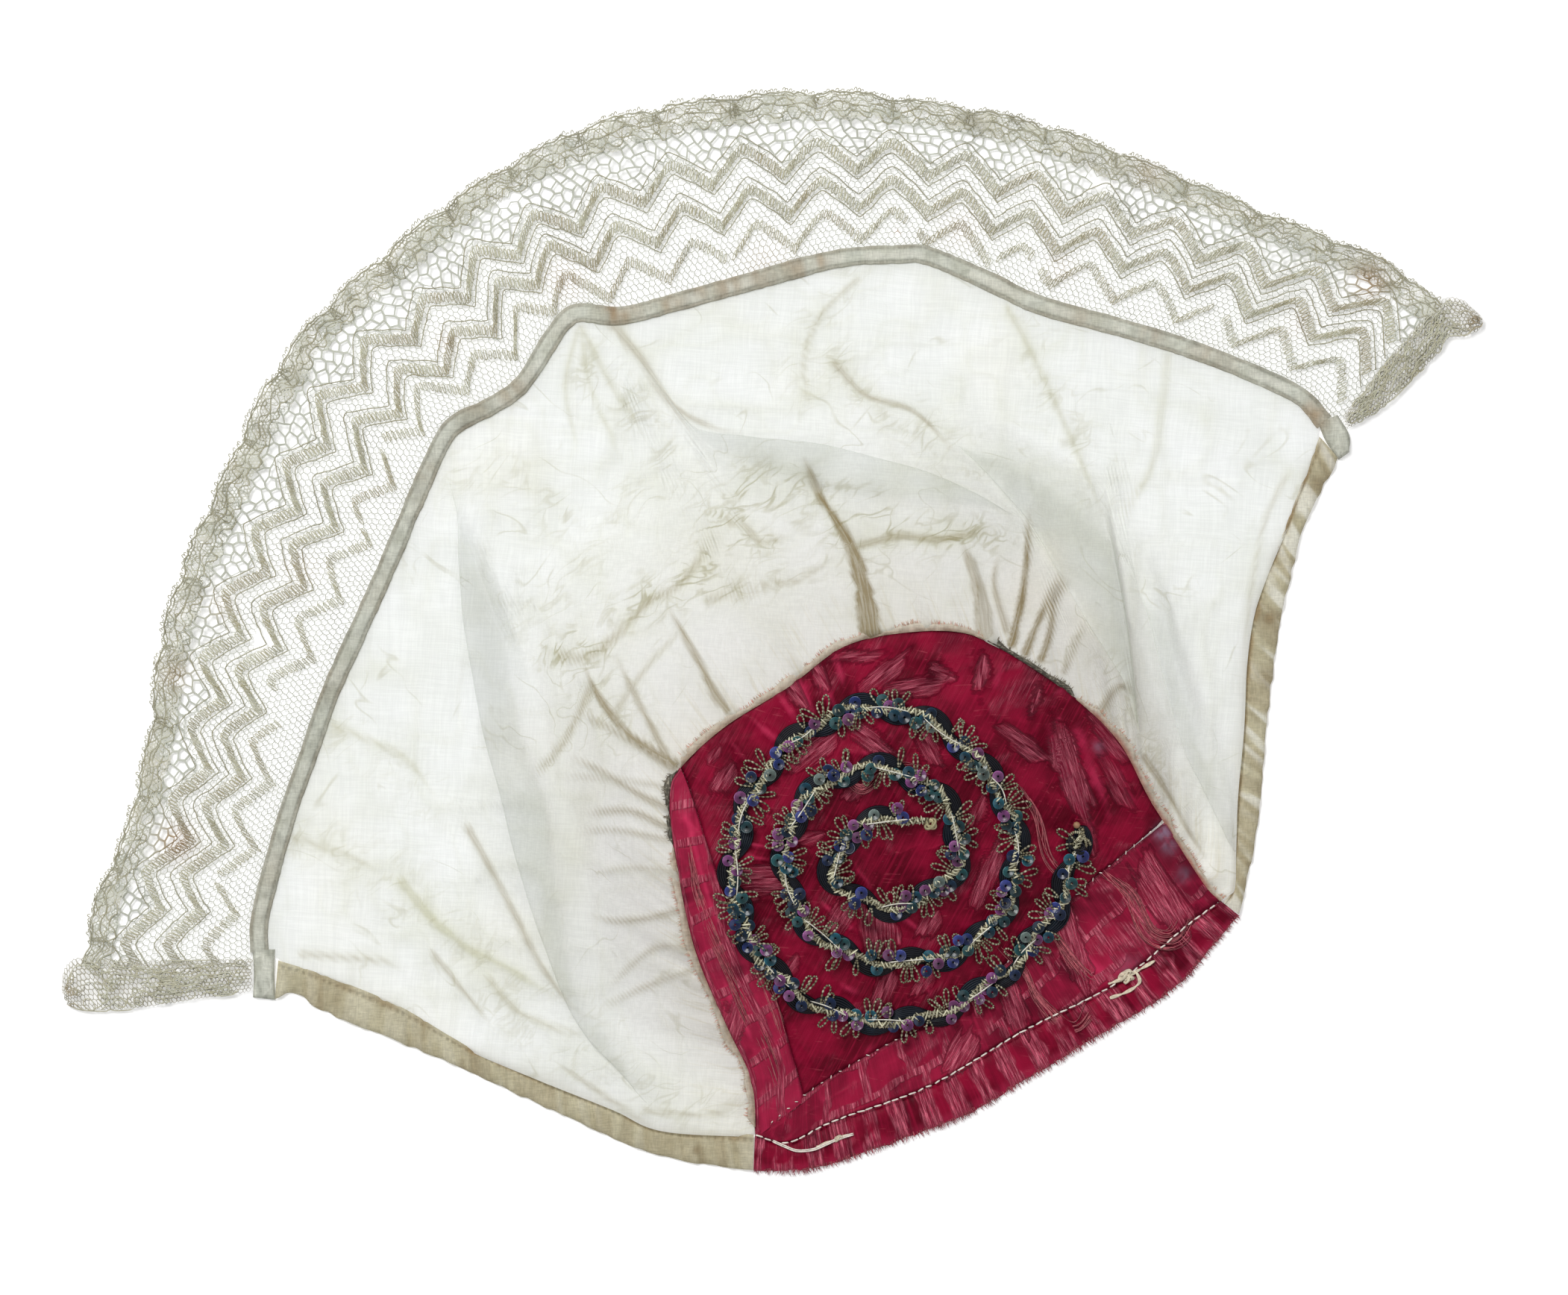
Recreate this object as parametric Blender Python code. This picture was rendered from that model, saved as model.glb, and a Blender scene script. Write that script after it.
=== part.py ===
"""A folk cap lying flat: a pieced brocade crown with a spiral of sequin braid, a gathered
muslin head part folded over itself, a taped face seam, a net frill and two neck casings.

Lengths are millimetres in the tables and functions, and metres in the meshes. +X points to
the right end of the frill, +Y to its top and +Z up off the table. The origin is on the table
under the middle of the cap.
"""

import math

import bmesh
import bpy
import numpy as np

MM = 0.001

# Walls and clearances
MUSLIN = 1.0
BROCADE = 1.4
NET = 1.0
SEAM_GAP = 0.4
TRIM_LIFT = 0.5

# The crown rises from the nape, which lies on the table, to a low plateau over the head hollow
CROWN_RISE = 28.0
CROWN_RAMP = 95.0
NAPE_FLAT = 10.0
NAPE_START = (0.0, -172.0)
NAPE_DIRECTION = (0.875, 0.485)

# Strips
TAPE_WIDTH = 6.0
TAPE_HEIGHT = 1.8
BAND_HEIGHT = 2.0
HEM_HEIGHT = 2.4
EDGING_WIDTH = 2.6
EDGING_STEP = 7.0
BORDER_FROM = 0.84

# The muslin falls from the crown and reaches the table before the tape; its folds lie as
# three layers, puffed up a little on the crown's side
FALL_BY = 0.69
FLOOR_MUSLIN = 0.55
LAYER = 2.2
PUFF = 3.0
FULL_FOLD_DEPTH = 7.0
FOLD_FADE = 0.03
NECK_GAP = 0.8

# Frill
CORNERS = 24
ZIGZAG_DEPTH = 10.3
ZIGZAG_WIDTH = 3.2
BAR = 0.07
NET_HEM = 1.4
WAVE_HEIGHT = 1.1

# Spiral braid
BRAID_RINGS = 92
BRAID_WIDTH = 9.0
BRAID_HEIGHT = 3.2
SPIRAL_CENTRE = (35.0, -73.0)
SPIRAL_START = 10.0

# Outlines in plan, x and y
CROWN_SEAM = [
    (-5.5, -160.0), (-7.0, -143.0), (-15.0, -125.0), (-25.0, -100.0), (-31.0, -70.0),
    (-32.5, -52.0), (-29.0, -43.0), (-15.0, -30.0), (5.0, -17.5), (22.0, -5.0),
    (40.0, -0.5), (60.0, -0.3), (75.0, -7.0), (95.0, -20.5), (110.0, -35.0),
    (120.0, -53.0), (129.6, -68.0), (138.2, -81.0), (143.0, -86.0),
]
NAPE_EDGE = [
    (-6.0, -171.8), (10.0, -171.8), (30.0, -166.0), (60.0, -155.0), (80.0, -143.5),
    (110.0, -125.5), (130.0, -112.0), (148.5, -90.5),
]
HEM_TOP = [
    (-5.5, -160.5), (5.0, -163.0), (20.0, -156.0), (50.0, -145.0), (80.0, -127.5),
    (110.0, -112.0), (132.0, -94.0), (143.0, -86.0),
]
NAPE_SEAM = [
    (-1.5, -157.6), (15.0, -144.5), (38.0, -131.0), (58.0, -121.0), (79.0, -101.5),
    (100.0, -81.0), (112.0, -71.0), (122.5, -62.0),
]
SIDE_SEAM = [
    (-29.0, -43.0), (-26.0, -50.0), (-18.0, -75.0), (-9.0, -97.0), (1.0, -117.0),
    (7.0, -137.0), (10.0, -148.0),
]
TAPE_LINE = [
    (-163.5, -102.5), (-163.0, -90.0), (-155.0, -60.0), (-148.0, -40.0), (-141.0, -20.0),
    (-132.0, 0.0), (-123.0, 20.0), (-114.5, 40.0), (-105.5, 60.0), (-100.0, 66.5),
    (-90.0, 71.5), (-80.0, 78.5), (-70.5, 93.0), (-66.0, 99.0), (-61.0, 101.5),
    (-48.0, 100.5), (-30.0, 105.0), (-10.0, 110.5), (20.0, 118.5), (40.0, 120.0),
    (50.0, 119.5), (70.0, 111.0), (85.0, 104.0), (110.0, 97.0), (130.0, 91.0),
    (150.0, 83.5), (168.0, 75.0), (176.0, 66.5),
]
FRILL_EDGE = [
    (-220.0, -103.0), (-215.0, -83.0), (-206.0, -62.0), (-199.0, -33.0), (-196.0, -7.0),
    (-188.5, 20.0), (-172.0, 57.0), (-163.0, 76.0), (-152.0, 93.0), (-136.0, 110.0),
    (-100.0, 139.0), (-60.0, 161.0), (-20.0, 170.0), (18.0, 172.3), (40.0, 170.3),
    (80.0, 163.5), (120.0, 149.5), (160.0, 132.5), (195.0, 118.5), (213.0, 105.0),
]
BAND_LEFT_SEAM = [
    (-7.5, -160.5), (-35.0, -158.5), (-50.0, -152.0), (-70.0, -144.0), (-92.0, -135.0),
    (-103.0, -129.0), (-120.0, -119.0), (-142.0, -110.0), (-157.5, -105.0),
]
BAND_LEFT_EDGE = [
    (-7.0, -171.9), (-20.0, -170.3), (-40.0, -166.0), (-60.0, -157.5), (-100.0, -139.0),
    (-119.0, -131.0), (-133.0, -125.5), (-145.0, -120.0), (-152.0, -115.5), (-157.5, -116.5),
]
BAND_RIGHT_SEAM = [
    (146.5, -84.0), (147.0, -70.0), (147.5, -53.0), (149.5, -31.0), (150.5, -10.0),
    (153.0, 6.0), (157.5, 19.0), (163.0, 32.0), (168.0, 45.0), (172.0, 58.0),
]
BAND_RIGHT_EDGE = [
    (149.0, -90.0), (151.5, -79.0), (155.0, -60.0), (157.0, -38.0), (159.0, -18.0),
    (162.0, 3.0), (165.0, 16.0), (168.5, 30.0), (173.0, 41.0), (179.5, 52.0),
]
END_LEFT_TOP = [
    (-165.6, -104.6), (-185.0, -105.0), (-205.0, -105.0), (-221.0, -104.4), (-225.6, -108.0),
    (-226.6, -114.0),
]
END_LEFT_BOTTOM = [
    (-165.6, -115.0), (-176.0, -116.5), (-186.0, -118.0), (-205.0, -120.8), (-219.0, -121.0),
    (-225.0, -119.0),
]
END_RIGHT_TOP = [
    (182.0, 68.6), (189.0, 77.5), (196.0, 86.0), (204.0, 95.5), (211.5, 103.6),
    (215.0, 106.2), (220.0, 105.5), (226.0, 100.5),
]
END_RIGHT_BOTTOM = [
    (182.9, 64.0), (194.0, 70.5), (203.0, 79.0), (212.0, 88.0), (215.5, 93.0),
    (220.0, 93.6), (225.0, 95.5), (226.6, 98.5),
]
TAB_LEFT_INNER = [(-158.4, -104.0), (-158.6, -117.2)]
TAB_LEFT_OUTER = [(-165.2, -104.0), (-165.2, -116.5)]
TAB_RIGHT_INNER = [(175.0, 65.0), (177.0, 60.0), (180.6, 54.6)]
TAB_RIGHT_OUTER = [(179.6, 68.2), (183.4, 62.5), (183.6, 57.0)]

# Where the frill's outer corners lie: arc lengths along the tape and the frill's edge, and
# the middles of its three zigzag rows as shares of the way from tape to edge
FRILL_RAYS = {
    "corner": (0, 3, 6, 9, 12, 15, 18, 21, 24),
    "tape_mm": (1.0, 64.8, 125.1, 182.2, 238.3, 297.1, 359.6, 421.4, 479.5),
    "edge_mm": (4.2, 78.7, 147.8, 223.7, 297.4, 373.1, 449.6, 522.4, 599.1),
    "outer_row": (0.77, 0.75, 0.72, 0.695, 0.66, 0.70, 0.695, 0.73, 0.77),
    "middle_row": (0.53, 0.54, 0.505, 0.445, 0.455, 0.475, 0.46, 0.525, 0.545),
    "inner_row": (0.31, 0.36, 0.295, 0.30, 0.255, 0.285, 0.265, 0.325, 0.315),
}

# The crisp edges of the muslin's folds in plan, and how far each fold runs back under
FOLDS = {
    "left": [
        # x, y, depth
        (-104.5, 52.0, 0.0), (-100.5, 30.0, 6.0), (-98.5, 5.0, 12.0), (-92.0, -28.0, 14.0),
        (-84.5, -58.0, 16.0), (-77.0, -81.0, 13.0), (-69.0, -102.0, 10.0),
        (-52.0, -129.0, 8.0), (-36.0, -141.5, 4.0), (-14.0, -149.0, 0.0),
    ],
    "top": [
        (-58.0, 98.5, 0.0), (-51.0, 94.0, 5.0), (-40.0, 84.0, 8.0), (-27.0, 68.0, 9.0),
        (-8.0, 61.5, 12.0), (15.0, 59.0, 14.0), (35.0, 54.0, 14.0), (55.0, 48.5, 9.0),
        (68.0, 44.0, 0.0),
    ],
    "right": [
        (68.0, 46.0, 0.0), (78.0, 41.0, 10.0), (90.0, 22.0, 18.0), (100.0, 4.0, 17.0),
        (112.0, -15.0, 14.0), (122.0, -42.0, 9.0), (134.0, -66.0, 4.0), (142.0, -80.0, 0.0),
    ],
}

# The gathers that stand up at the crown seam
PLEATS = {
    "seam_mm": (40, 62, 76, 102, 122, 146, 178, 202, 222, 240, 252, 262, 274, 300, 324),
    "reach": (32, 24, 26, 36, 30, 24, 34, 60, 40, 34, 42, 30, 36, 30, 26),
    "height": (2.0, 2.4, 2.0, 2.6, 2.8, 2.4, 2.0, 4.0, 2.4, 3.2, 2.6, 2.6, 2.4, 2.6, 2.0),
}
PLEAT_WIDTH = 5.0

# The spiral's radius, clockwise from its outer end
SPIRAL = {
    "turns": (0.0, 0.13, 0.26, 0.46, 0.60, 0.77, 0.90, 1.09, 1.26, 1.45, 1.70, 1.92, 2.03,
              2.13, 2.33, 2.49, 2.63, 2.81, 2.92),
    "radius": (63.0, 53.6, 51.7, 48.3, 46.5, 49.0, 43.8, 41.6, 32.6, 31.0, 31.0, 26.8, 24.0,
               18.0, 14.2, 16.4, 13.4, 14.0, 19.0),
}

# Trim that peeks out round the crown, from and to in millimetres along the crown seam
EDGINGS = {
    "selvage_left": (6.0, 96.0),
    "galloon_left": (97.0, 121.0),
    "selvage_top": (124.0, 232.0),
    "galloon_right": (233.5, 266.0),
    "selvage_right": (267.5, 348.0),
}

CRIMSON = (0.30, 0.010, 0.045)
CRIMSON_WORN = (0.42, 0.045, 0.085)
MUSLIN_WHITE = (0.78, 0.77, 0.70)
NET_GREY = (0.42, 0.40, 0.33)
TAPE_GREY = (0.30, 0.30, 0.27)
CASING_BEIGE = (0.58, 0.52, 0.40)
SELVAGE_CREAM = (0.66, 0.53, 0.42)
GALLOON_DARK = (0.16, 0.15, 0.14)
BRAID_BLACK = (0.02, 0.022, 0.035)


def ease(x):
    """A smooth step from 0 to 1."""
    x = np.clip(x, 0.0, 1.0)
    return x * x * (3.0 - 2.0 * x)


class Path:
    """A smooth curve through a few points, read by its arc length in plan."""

    SPAN_STEPS = 16

    def __init__(self, points):
        known = np.array(points, float)
        known = np.vstack([2 * known[0] - known[1], known, 2 * known[-1] - known[-2]])
        steps = np.linspace(0.0, 1.0, self.SPAN_STEPS, endpoint=False)[:, None]
        spans = [
            self.span(known[i - 1 : i + 3], steps) for i in range(1, len(known) - 2)
        ]
        self.points = np.vstack(spans + [known[-2:-1]])
        lengths = np.hypot(*np.diff(self.points[:, :2], axis=0).T)
        self.arc = np.concatenate([[0.0], np.cumsum(lengths)])
        self.length = self.arc[-1]

    @staticmethod
    def span(four, t):
        """The Catmull-Rom curve from the second point to the third."""
        a, b, c, d = four
        cubic = 3 * b - a - 3 * c + d
        return 0.5 * (2 * b + (c - a) * t + (2 * a - 5 * b + 4 * c - d) * t**2 + cubic * t**3)

    def at(self, mm):
        mm = np.clip(mm, 0.0, self.length)
        columns = [np.interp(mm, self.arc, column) for column in self.points.T]
        return np.stack(columns, axis=-1)

    def even(self, count):
        """Points evenly spread along the curve."""
        return self.at(np.linspace(0.0, self.length, count))

    def left_of(self, mm):
        """The unit normal on the left of the way the curve runs."""
        reach = 0.5
        run = self.at(np.asarray(mm) + reach) - self.at(np.asarray(mm) - reach)
        run = run[..., :2] / np.linalg.norm(run[..., :2], axis=-1, keepdims=True)
        return np.stack([-run[..., 1], run[..., 0]], axis=-1)


def crown_height(x, y):
    """The height of the crown's middle surface above the table."""
    across_x, across_y = -NAPE_DIRECTION[1], NAPE_DIRECTION[0]
    up_from_nape = (x - NAPE_START[0]) * across_x + (y - NAPE_START[1]) * across_y
    return 1.2 + CROWN_RISE * ease((up_from_nape - NAPE_FLAT) / CROWN_RAMP)


def on_crown(plan):
    """Plan points lifted onto the crown's middle surface."""
    return np.column_stack([plan, crown_height(plan[:, 0], plan[:, 1])])


def material(name, colour, roughness, metallic=0.0):
    made = bpy.data.materials.new(name)
    made.use_nodes = True
    shader = made.node_tree.nodes["Principled BSDF"]
    shader.inputs["Base Color"].default_value = (*colour, 1.0)
    shader.inputs["Roughness"].default_value = roughness
    shader.inputs["Metallic"].default_value = metallic
    made.diffuse_color = (*colour, 1.0)
    return made


def finish(name, mesh, colour, roughness, metallic=0.0):
    """The bmesh as a smooth-shaded object of the scene, with its material."""
    bmesh.ops.recalc_face_normals(mesh, faces=mesh.faces)
    data = bpy.data.meshes.new(name)
    mesh.to_mesh(data)
    mesh.free()
    data.shade_smooth()
    data.set_sharp_from_angle(angle=math.radians(40))
    data.materials.append(material(name, colour, roughness, metallic))
    made = bpy.data.objects.new(name, data)
    bpy.context.scene.collection.objects.link(made)
    return made


def cloth(name, rows, wall, colour, roughness=0.9, cut=None):
    """A sheet of cloth through a grid of points, with a wall and any holes cut through."""
    mesh = bmesh.new()
    grid = [[mesh.verts.new(point * MM) for point in row] for row in rows]
    for i in range(len(rows) - 1):
        for j in range(len(rows[0]) - 1):
            if cut is None or not cut(i, j):
                mesh.faces.new(
                    (grid[i][j], grid[i + 1][j], grid[i + 1][j + 1], grid[i][j + 1])
                )
    loose = [vert for vert in mesh.verts if not vert.link_faces]
    bmesh.ops.delete(mesh, geom=loose, context="VERTS")
    made = finish(name, mesh, colour, roughness)
    solidify = made.modifiers.new("wall", "SOLIDIFY")
    solidify.thickness = wall * MM
    solidify.offset = 0.0
    solidify.use_even_offset = False
    return made


def round_cloth(name, centre, rim, rings, wall, colour, roughness=0.9):
    """A sheet of cloth from a middle point out to a closed rim, with a wall."""
    mesh = bmesh.new()
    middle = mesh.verts.new(on_crown(np.array([centre]))[0] * MM)
    hoops = []
    for ring in range(1, rings + 1):
        plan = np.array(centre) + (rim - np.array(centre)) * ring / rings
        hoops.append([mesh.verts.new(point * MM) for point in on_crown(plan)])
    count = len(rim)
    for i in range(count):
        after = (i + 1) % count
        mesh.faces.new((middle, hoops[0][i], hoops[0][after]))
        for inner, outer in zip(hoops, hoops[1:]):
            mesh.faces.new((inner[i], outer[i], outer[after], inner[after]))
    made = finish(name, mesh, colour, roughness)
    solidify = made.modifiers.new("wall", "SOLIDIFY")
    solidify.thickness = wall * MM
    solidify.offset = 0.0
    return made


def swept(name, rings, colour, roughness, metallic=0.0):
    """A closed solid through cross-sections that all have the same number of points."""
    mesh = bmesh.new()
    hoops = [[mesh.verts.new(point * MM) for point in ring] for ring in rings]
    sides = len(hoops[0])
    for first, second in zip(hoops, hoops[1:]):
        for i in range(sides):
            after = (i + 1) % sides
            mesh.faces.new((first[i], first[after], second[after], second[i]))
    mesh.faces.new(hoops[0])
    mesh.faces.new(hoops[-1][::-1])
    return finish(name, mesh, colour, roughness, metallic)


def strip(name, one_side, other_side, low, high, colour, roughness=0.9, metallic=0.0):
    """A flat strip between two curves in plan, from height low to height high."""
    low = np.broadcast_to(low, len(one_side))
    high = np.broadcast_to(high, len(one_side))
    rings = [
        np.array([(*a, z0), (*b, z0), (*b, z1), (*a, z1)])
        for a, b, z0, z1 in zip(one_side, other_side, low, high)
    ]
    return swept(name, rings, colour, roughness, metallic)


def between(first, second, count, gap=SEAM_GAP):
    """Two lines of points drawn in from a pair of paths, so that neighbours stay clear."""
    a, b = Path(first).even(count), Path(second).even(count)
    across = (b - a) / np.linalg.norm(b - a, axis=1, keepdims=True)
    return a + across * gap / 2, b - across * gap / 2


def crown_pieces():
    """The main panel, the side and nape strips and the hem, with their seams just open."""
    seam = Path(CROWN_SEAM)
    corner_mm = seam.arc[np.argmin(np.hypot(*(seam.points - SIDE_SEAM[0]).T))]
    nape_mm = seam.arc[np.argmin(np.hypot(*(seam.points - NAPE_SEAM[-1]).T))]

    top = seam.at(np.linspace(corner_mm, nape_mm, 19))
    nape = Path(NAPE_SEAM)
    side_meets_nape = nape.arc[np.argmin(np.hypot(*(nape.points - SIDE_SEAM[-1]).T))]
    bottom = nape.at(np.linspace(nape.length, side_meets_nape, 13))
    side = Path(SIDE_SEAM).even(10)[::-1]
    rim = np.vstack([top[:-1], bottom[:-1], side[:-1]])
    inward = np.array(SPIRAL_CENTRE) - rim
    rim = rim + inward / np.linalg.norm(inward, axis=1, keepdims=True) * SEAM_GAP
    round_cloth("crown_panel", SPIRAL_CENTRE, rim, 5, BROCADE, CRIMSON, 0.55)

    # The side strip runs down the left of the crown to the nape seam
    outer = seam.at(np.linspace(corner_mm - 3.0, 1.4, 14))
    inner = Path(SIDE_SEAM).at(np.linspace(3.0, Path(SIDE_SEAM).length - 0.8, 14))
    across = (inner - outer) / np.linalg.norm(inner - outer, axis=1, keepdims=True)
    outer, inner = outer + across * SEAM_GAP, inner - across * SEAM_GAP
    rows = [
        on_crown(np.vstack([a, (a + b) / 2, b])) for a, b in zip(outer, inner)
    ]
    cloth("crown_side_strip", rows, BROCADE, CRIMSON_WORN, 0.6)

    # The nape strip lies between the nape seam and the hem
    upper, lower = between(NAPE_SEAM, HEM_TOP, 18, 2 * SEAM_GAP)
    rows = [
        on_crown(np.vstack([a, (a + b) / 2, b])) for a, b in zip(upper, lower)
    ]
    cloth("crown_nape_strip", rows, BROCADE, CRIMSON_WORN, 0.6)

    upper, lower = between(HEM_TOP, NAPE_EDGE, 24)
    strip("nape_hem", upper, lower, 0.0, HEM_HEIGHT, CRIMSON, 0.6)


def spiral_braid():
    """The braid: a flat-bottomed bundle that swells where sequins and loops sit."""
    turns = np.linspace(0.0, SPIRAL["turns"][-1], 400)
    radius = Path(list(zip(SPIRAL["turns"], SPIRAL["radius"])))
    radius = np.interp(turns, radius.points[:, 0], radius.points[:, 1])
    angle = math.radians(SPIRAL_START) - turns * math.tau
    line = Path(
        np.array(SPIRAL_CENTRE)
        + np.column_stack([radius * np.cos(angle), radius * np.sin(angle)])
    )
    mm = np.linspace(0.0, line.length, BRAID_RINGS)
    centre, aside = line.at(mm), line.left_of(mm)
    swell = np.where(np.arange(BRAID_RINGS) % 2 == 0, 1.0, 0.84)
    swell[[0, -1]] = 0.6
    rings = []
    for point, normal, size in zip(centre, aside, swell):
        half = BRAID_WIDTH / 2 * size
        shape = ((-half, 0.0), (half, 0.0), (half * 0.55, 1.0), (-half * 0.55, 1.0))
        ring = []
        for across, up in shape:
            x, y = point + normal * across
            seat = crown_height(x, y) + BROCADE / 2 + TRIM_LIFT
            ring.append((x, y, seat + up * BRAID_HEIGHT * size + 0.4 * (up == 0)))
        rings.append(np.array(ring))
    swept("spiral_braid", rings, BRAID_BLACK, 0.35, 0.2)


def edgings():
    """Seam allowance and galloon, just outside the crown seam."""
    seam = Path(CROWN_SEAM)
    for name, (start, stop) in EDGINGS.items():
        mm = np.linspace(start, stop, max(5, round((stop - start) / EDGING_STEP)))
        base, out = seam.at(mm), seam.left_of(mm)
        near = base + out * SEAM_GAP
        far = base + out * (SEAM_GAP + EDGING_WIDTH)
        height = crown_height(base[:, 0], base[:, 1])
        dark = name.startswith("galloon")
        colour = GALLOON_DARK if dark else SELVAGE_CREAM
        metal = 0.6 if dark else 0.0
        strip(name, near, far, height - 0.7, height + 0.9, colour, 0.5, metal)


def frill_stations():
    """Corner numbers of the frill's columns: two at each bar and one at each inner corner."""
    corners = [-0.3]
    for corner in range(CORNERS + 1):
        corners += [corner - BAR, corner + BAR, corner + 0.5]
    corners[-1] = CORNERS + 0.4
    return np.array(corners)


def ray(column, corners):
    """A column of FRILL_RAYS, read between its rows and a little past its ends."""
    known, values = FRILL_RAYS["corner"], FRILL_RAYS[column]
    inside = np.interp(corners, known, values)
    slope = (values[-1] - values[0]) / (known[-1] - known[0])
    past = np.clip(corners - known[-1], 0, None) + np.clip(corners - known[0], None, 0)
    return inside + past * slope * column.endswith("_mm")


def frill_point(corners, share):
    """A point of the frill in plan: share 0 lies on the tape's middle line, 1 on the edge."""
    tape, edge = Path(TAPE_LINE), Path(FRILL_EDGE)
    root = tape.at(ray("tape_mm", corners))
    tip = edge.at(ray("edge_mm", corners))
    return root + (tip - root) * np.asarray(share)[..., None]


def beside_tape(corners, side):
    """Points just clear of the tape: side 1 is the frill's, and -1 the muslin's."""
    tape = Path(TAPE_LINE)
    tape_mm = np.clip(ray("tape_mm", corners), 0.0, tape.length)
    return tape.at(tape_mm) + tape.left_of(tape_mm) * side * (TAPE_WIDTH / 2 + SEAM_GAP)


def frill_lift(corners, share):
    """The frill's gentle waves, which grow to its outer edge."""
    return WAVE_HEIGHT * np.asarray(share) ** 2 * (1 - np.cos(np.asarray(corners) * math.tau / 3))


def frill():
    """The cut-through net with its zigzag rows, the border, and the bunched ends."""
    corners = frill_stations()
    width = np.linalg.norm(frill_point(corners, np.ones_like(corners))
                           - frill_point(corners, np.zeros_like(corners)), axis=1)
    dip = ZIGZAG_DEPTH * (np.abs(corners - np.round(corners)) * 2)
    dip[np.abs(corners - np.round(corners)) <= BAR + 1e-6] = 0.0
    root = (TAPE_WIDTH / 2 + SEAM_GAP) / width
    bounds = [root, root + NET_HEM / width]
    for row in ("inner_row", "middle_row", "outer_row"):
        middle = ray(row, corners) - dip / width
        half = ZIGZAG_WIDTH / 2 / width
        bounds += [middle - half, middle + half]
    bounds += [BORDER_FROM - 0.02 * np.ones_like(corners), BORDER_FROM * np.ones_like(corners)]
    bounds = np.array(bounds)
    least = 0.8 / width
    for row in range(1, len(bounds)):
        bounds[row] = np.maximum(bounds[row], bounds[row - 1] + least)

    rows = []
    inner_edge = beside_tape(corners, 1)
    for column, corner in enumerate(corners):
        shares = bounds[:, column]
        plan = frill_point(np.full(len(shares), corner), shares)
        plan[0] = inner_edge[column]
        height = NET / 2 + frill_lift(corner, shares)
        rows.append(np.column_stack([plan, height]))

    def cut(i, j):
        """Every second row of cells is open between the bars."""
        at_bar = (i - 1) % 3 == 0
        at_end = i in (0, len(corners) - 2)
        return j in (1, 3, 5, 7) and not at_bar and not at_end

    cloth("lace_frill", rows, NET, NET_GREY, 0.9, cut)

    # The border is drawn in at each outer corner
    pinch = 0.5 * (1 + np.cos(corners * math.tau)) ** 4 / 8
    rows = []
    for corner, drawn in zip(corners, pinch):
        shares = np.array([BORDER_FROM + 0.01, 0.995 - 0.02 * drawn])
        plan = frill_point(np.full(2, corner), shares)
        height = NET / 2 + 0.15 + frill_lift(corner, shares)
        rows.append(np.column_stack([plan, height]))
    cloth("lace_border", rows, NET + 0.3, NET_GREY)

    for name, first, second in (
        ("lace_end_left", END_LEFT_TOP, END_LEFT_BOTTOM),
        ("lace_end_right", END_RIGHT_TOP, END_RIGHT_BOTTOM),
    ):
        a, b = between(first, second, 12, 0.0)
        bunch = 2.6 + 1.2 * (np.arange(12) % 2)
        rings = []
        for p, q, top in zip(a, b, bunch):
            inset = (q - p) * 0.2
            rings.append(np.array([(*p, 0.0), (*q, 0.0), (*q, top * 0.6),
                                   (*(q - inset), top), (*(p + inset), top), (*p, top * 0.6)]))
        swept(name, rings, NET_GREY, 0.95)


def face_binding():
    """The tape over the face seam and its turned-in ends."""
    tape = Path(TAPE_LINE)
    mm = np.clip(ray("tape_mm", frill_stations()), 0.0, tape.length)
    mm[0], mm[-1] = 0.0, tape.length
    line, out = tape.at(mm), tape.left_of(mm)
    inner, outer = line - out * TAPE_WIDTH / 2, line + out * TAPE_WIDTH / 2
    strip("face_binding", inner, outer, 0.0, TAPE_HEIGHT, TAPE_GREY)
    for name, first, second in (
        ("binding_tab_left", TAB_LEFT_INNER, TAB_LEFT_OUTER),
        ("binding_tab_right", TAB_RIGHT_INNER, TAB_RIGHT_OUTER),
    ):
        a, b = Path(first).even(5), Path(second).even(5)
        top = 2.6 + 0.7 * (np.arange(5) % 2)
        strip(name, a, b, 0.0, top, TAPE_GREY)


def neck_bands():
    """The two casings, ribbed by their gathers."""
    for name, first, second, count in (
        ("neck_band_left", BAND_LEFT_SEAM, BAND_LEFT_EDGE, 32),
        ("neck_band_right", BAND_RIGHT_SEAM, BAND_RIGHT_EDGE, 30),
    ):
        a, b = between(first, second, count)
        rib = BAND_HEIGHT + 0.35 * (np.arange(count) % 2)
        strip(name, a, b, 0.0, rib, CASING_BEIGE)


def crossing(start, stop, fold):
    """How far along a ray it meets a fold's edge, and the fold's depth there, or None."""
    run = stop - start
    a, b = fold.points[:-1], fold.points[1:]
    edge = b[:, :2] - a[:, :2]
    offset = a[:, :2] - start
    turn = run[0] * edge[:, 1] - run[1] * edge[:, 0]
    turn = np.where(np.abs(turn) < 1e-9, 1e-9, turn)
    along = (offset[:, 0] * edge[:, 1] - offset[:, 1] * edge[:, 0]) / turn
    share = (offset[:, 0] * run[1] - offset[:, 1] * run[0]) / turn
    met = np.flatnonzero((share >= 0) & (share < 1) & (along > 0) & (along < 1))
    if not len(met):
        return None
    first = met[0]
    depth = a[first, 2] + share[first] * (b[first, 2] - a[first, 2])
    return along[first], depth


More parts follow.
